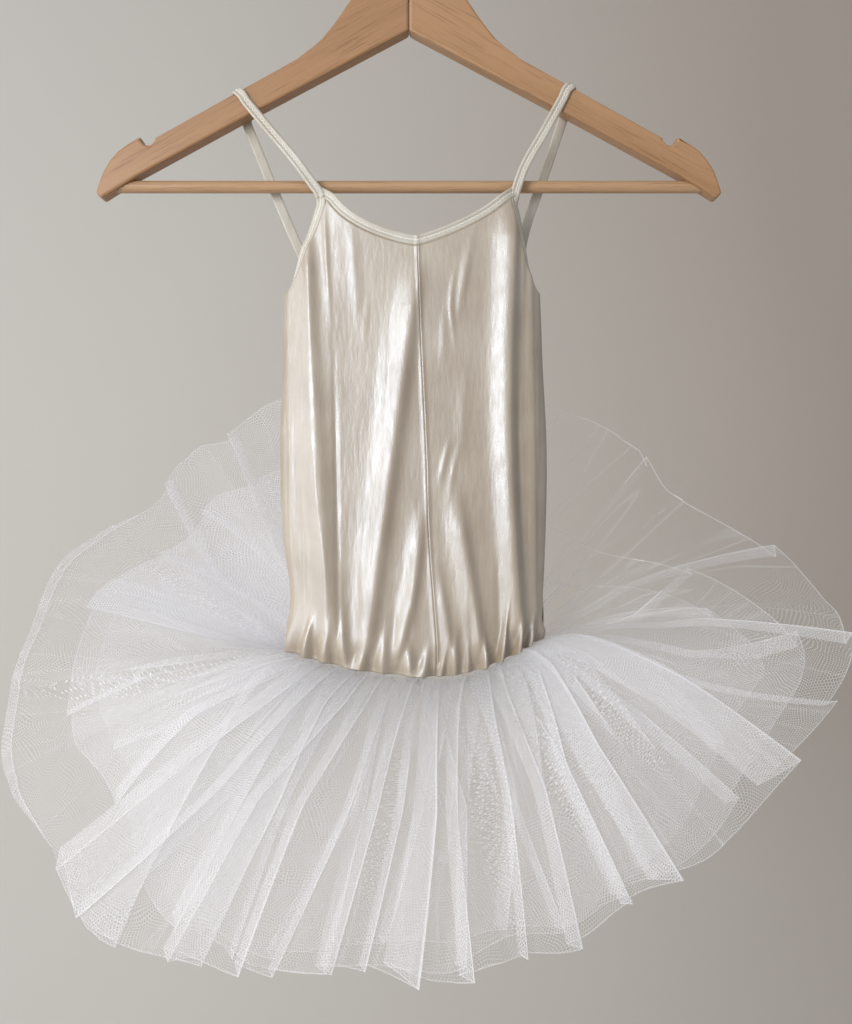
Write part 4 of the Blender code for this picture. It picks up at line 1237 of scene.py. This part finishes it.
def addLayer(name, material):
    settings = layers[name]
    depth = settings["depth"]
    dice = np.random.default_rng(settings["seed"])
    plan = pleatPlan(dice, settings["folds"])
    roll = settings["curl"]
    v = np.linspace(0, 1, net["rows"]) ** net["rowSpread"]
    v = np.concatenate([v[v < 1 - roll - 0.01], np.linspace(1 - roll, 1, net["curlRows"])])
    centre = np.arange(net["pleats"])[None, :] + settings["shift"] + net["returnAt"] + strayAt(plan, v)
    centre += settings["swing"] * (v[:, None] - net["swingFrom"])
    # width of one pleat on the base surface, row by row
    turn = turnAt(centre)
    along = v[:, None] * hemShare(turn, depth)
    here = netPoint(turn, along)
    ahead = netPoint(turnAt(centre + 0.5), along)
    behind = netPoint(turnAt(centre - 0.5), along)
    pitch = np.linalg.norm(ahead - here, axis=-1) + np.linalg.norm(here - behind, axis=-1)
    overlap = np.clip(overlapAt(plan, v) / pitch, -0.6, 2.0)
    phases, heights, corners, foldWalk, pressed = pleatRows(dice, plan, v, centre, overlap, pitch)
    # the hem curls over at the side, and its corners stand out
    turn = turnAt(phases)
    curled = around(curlShare, turn[:, -1:]) * (depth == 0)
    rolling = np.clip((v - 1 + roll) / roll, 0, 1)[None, :]
    curlEnd = (1 - roll) + roll * net["curlReach"] * np.sin(rolling * math.pi)
    down = v + curled * (curlEnd - v) * (rolling > 0)
    along = down * hemShare(turn, depth) * (1 + corners * v[None, :] ** 3)
    strength = net["steady"] + unevenness(pleatUneven, turn, depth)
    lift = heights * (net["rootRise"] + net["rise"] * strength * along ** 0.9)
    lift = lift + curled * (1 - np.cos(rolling * math.pi)) * net["curlHeight"]
    wobble = np.sin(phases * 2.9 + v * 6 + depth) * np.sin(v * 11 + phases * 0.7) * net["crinkle"] * v
    under = depth * (net["rootStep"] + (net["layerStep"] - net["rootStep"]) * along)
    grid = netPoint(turn, along) + netFacing(turn, along) * (lift + wobble - under)[..., None]
    # the cloth's own place: u along the hem, v from the waist
    steps, hemWalk, length = clothWalks(grid)
    uv = np.stack([np.broadcast_to(hemWalk[:-1, None], length.shape), length], -1)
    localWidth = (steps + np.roll(steps, 1, axis=0)) / 2
    plies = localWidth[:, -1:] / np.maximum(localWidth, 1e-6)
    crumpled = around(crumple, turn) * settings["crumple"] * np.sin(np.clip(v * 1.15, 0, 1) * 2.4)
    # stands in for shade: the net is thinned towards the waist so it shows darker there
    shadeThinning = net["shadeThinRoot"] + (1 - net["shadeThinRoot"]) * np.clip(v / net["fullFrom"], 0, 1)
    values = {
        "fold": foldWalk * mm,
        "thread": around(threadAndLightShare, turn) * shadeThinning,
        "hem": length[:, -1:] - length,
        # painted shade: how far the net's colour is darkened, most at the waist
        "shade": around(shadeShare, turn) * np.exp(-(v / net["shadeReach"]) ** 2),
        "gathered": np.clip(plies, 1, net["mostPlies"]),
        "crumple": crumpled + pressed,
    }
    layer = gridMesh(name, grid, material, ringed=True, uv=uv, values=values)
    layer.data.set_sharp_from_angle(angle=math.radians(net["sharp"]))
    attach(layer, "root")
    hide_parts(settings["node"])


netFinish = {
    "cell": 0.0018, "thread": 0.00022, "white": (0.93, 0.93, 0.95), "roughness": 0.55, "gloss": 0.3,
    "translucent": 0.5,
    "pull": 0.012, "pullScale": 45.0,           # the net is pulled a little out of true
    "ply": 0.2, "gathering": 0.15,              # what a ply more hides, and how gathers pile up
    "streaks": (90.0, 9.0, 0), "streakShare": (0.75, 1.25),
    "creases": (34.0, 4.0, 0), "creaseLine": 0.02, "creaseWhite": 0.16,
    "foldLine": 0.0007, "hemLine": 0.0008, "lineWhite": 0.42,
    "shade": 0.3,
}


def makeTulle():
    material, tree, shader = newMaterial("stiffTulle")
    place = addNode(tree, "ShaderNodeUVMap", uv_map="cloth").outputs[0]
    thread = calculate(tree, "MULTIPLY", clothValue(tree, "thread"), netFinish["thread"])
    pull = addNode(tree, "ShaderNodeTexNoise", {"Vector": place, "Scale": netFinish["pullScale"],
                                                "Detail": 0.0})
    pulled = vectorMath(tree, "SUBTRACT", pull.outputs["Color"], (0.5, 0.5, 0.5))
    pulled = vectorMath(tree, "MULTIPLY", pulled, (netFinish["pull"], netFinish["pull"], 0))
    netPlace = vectorMath(tree, "ADD", place, pulled)
    mesh = addNode(tree, "ShaderNodeGroup", {"Vector": netPlace, "Cell": netFinish["cell"], "Thread": thread},
                   node_tree=netGroup)
    # gathered and crumpled cloth lies in several plies, and each leaves a share of what was open
    streaks = stretchedNoise(tree, place, netFinish["streaks"], {"Scale": 1.0, "Detail": 2.0})
    uneven = mapped(tree, streaks, *netFinish["streakShare"], 0.3, 0.7)
    gathered = calculate(tree, "SUBTRACT", clothValue(tree, "gathered"), 1.0)
    gathered = calculate(tree, "MULTIPLY", gathered, netFinish["gathering"])
    plies = calculate(tree, "ADD", gathered, clothValue(tree, "crumple"))
    plies = calculate(tree, "MULTIPLY", plies, uneven)
    openShare = calculate(tree, "POWER", 1 - netFinish["ply"], plies)
    # then creases, fold lines, the cut hem and the net's threads cover their own share
    wander = stretchedNoise(tree, place, netFinish["creases"], {"Scale": 1.0, "Detail": 1.0})
    offLine = calculate(tree, "ABSOLUTE", calculate(tree, "SUBTRACT", wander, 0.5))
    covers = [mapped(tree, offLine, netFinish["creaseWhite"], 0.0, 0.0, netFinish["creaseLine"])]
    for name in ("fold", "hem"):
        onLine = calculate(tree, "LESS_THAN", clothValue(tree, name), netFinish[name + "Line"])
        covers.append(calculate(tree, "MULTIPLY", onLine, netFinish["lineWhite"]))
    covers.append(mesh.outputs["Cover"])
    for cover in covers:
        openShare = calculate(tree, "MULTIPLY", openShare, calculate(tree, "SUBTRACT", 1.0, cover))
    alpha = calculate(tree, "SUBTRACT", 1.0, openShare, clamp=True)
    # painted shade: the net's white is darkened round the waist by the shade value, where the bodice shades
    # it
    paintedShadeWhite = tuple(np.array(netFinish["white"]) * (1 - netFinish["shade"]))
    colour = ramp(tree, clothValue(tree, "shade"), [(0.0, netFinish["white"]), (1.0, paintedShadeWhite)])
    tree.links.new(colour, shader.inputs["Base Color"])
    shader.inputs["Roughness"].default_value = netFinish["roughness"]
    shader.inputs["Specular IOR Level"].default_value = netFinish["gloss"]
    lit = addNode(tree, "ShaderNodeBsdfTranslucent", {"Color": colour})
    clear = addNode(tree, "ShaderNodeBsdfTransparent")
    cloth = addNode(tree, "ShaderNodeMixShader", {0: netFinish["translucent"], 1: shader.outputs[0],
                                                  2: lit.outputs[0]})
    whole = addNode(tree, "ShaderNodeMixShader", {0: alpha, 1: clear.outputs[0], 2: cloth.outputs[0]})
    tree.links.new(whole.outputs[0], tree.nodes["Material Output"].inputs["Surface"])
    return material


tulle = makeTulle()
for name in layers:
    addLayer(name, tulle)
print("net skirt gathered")
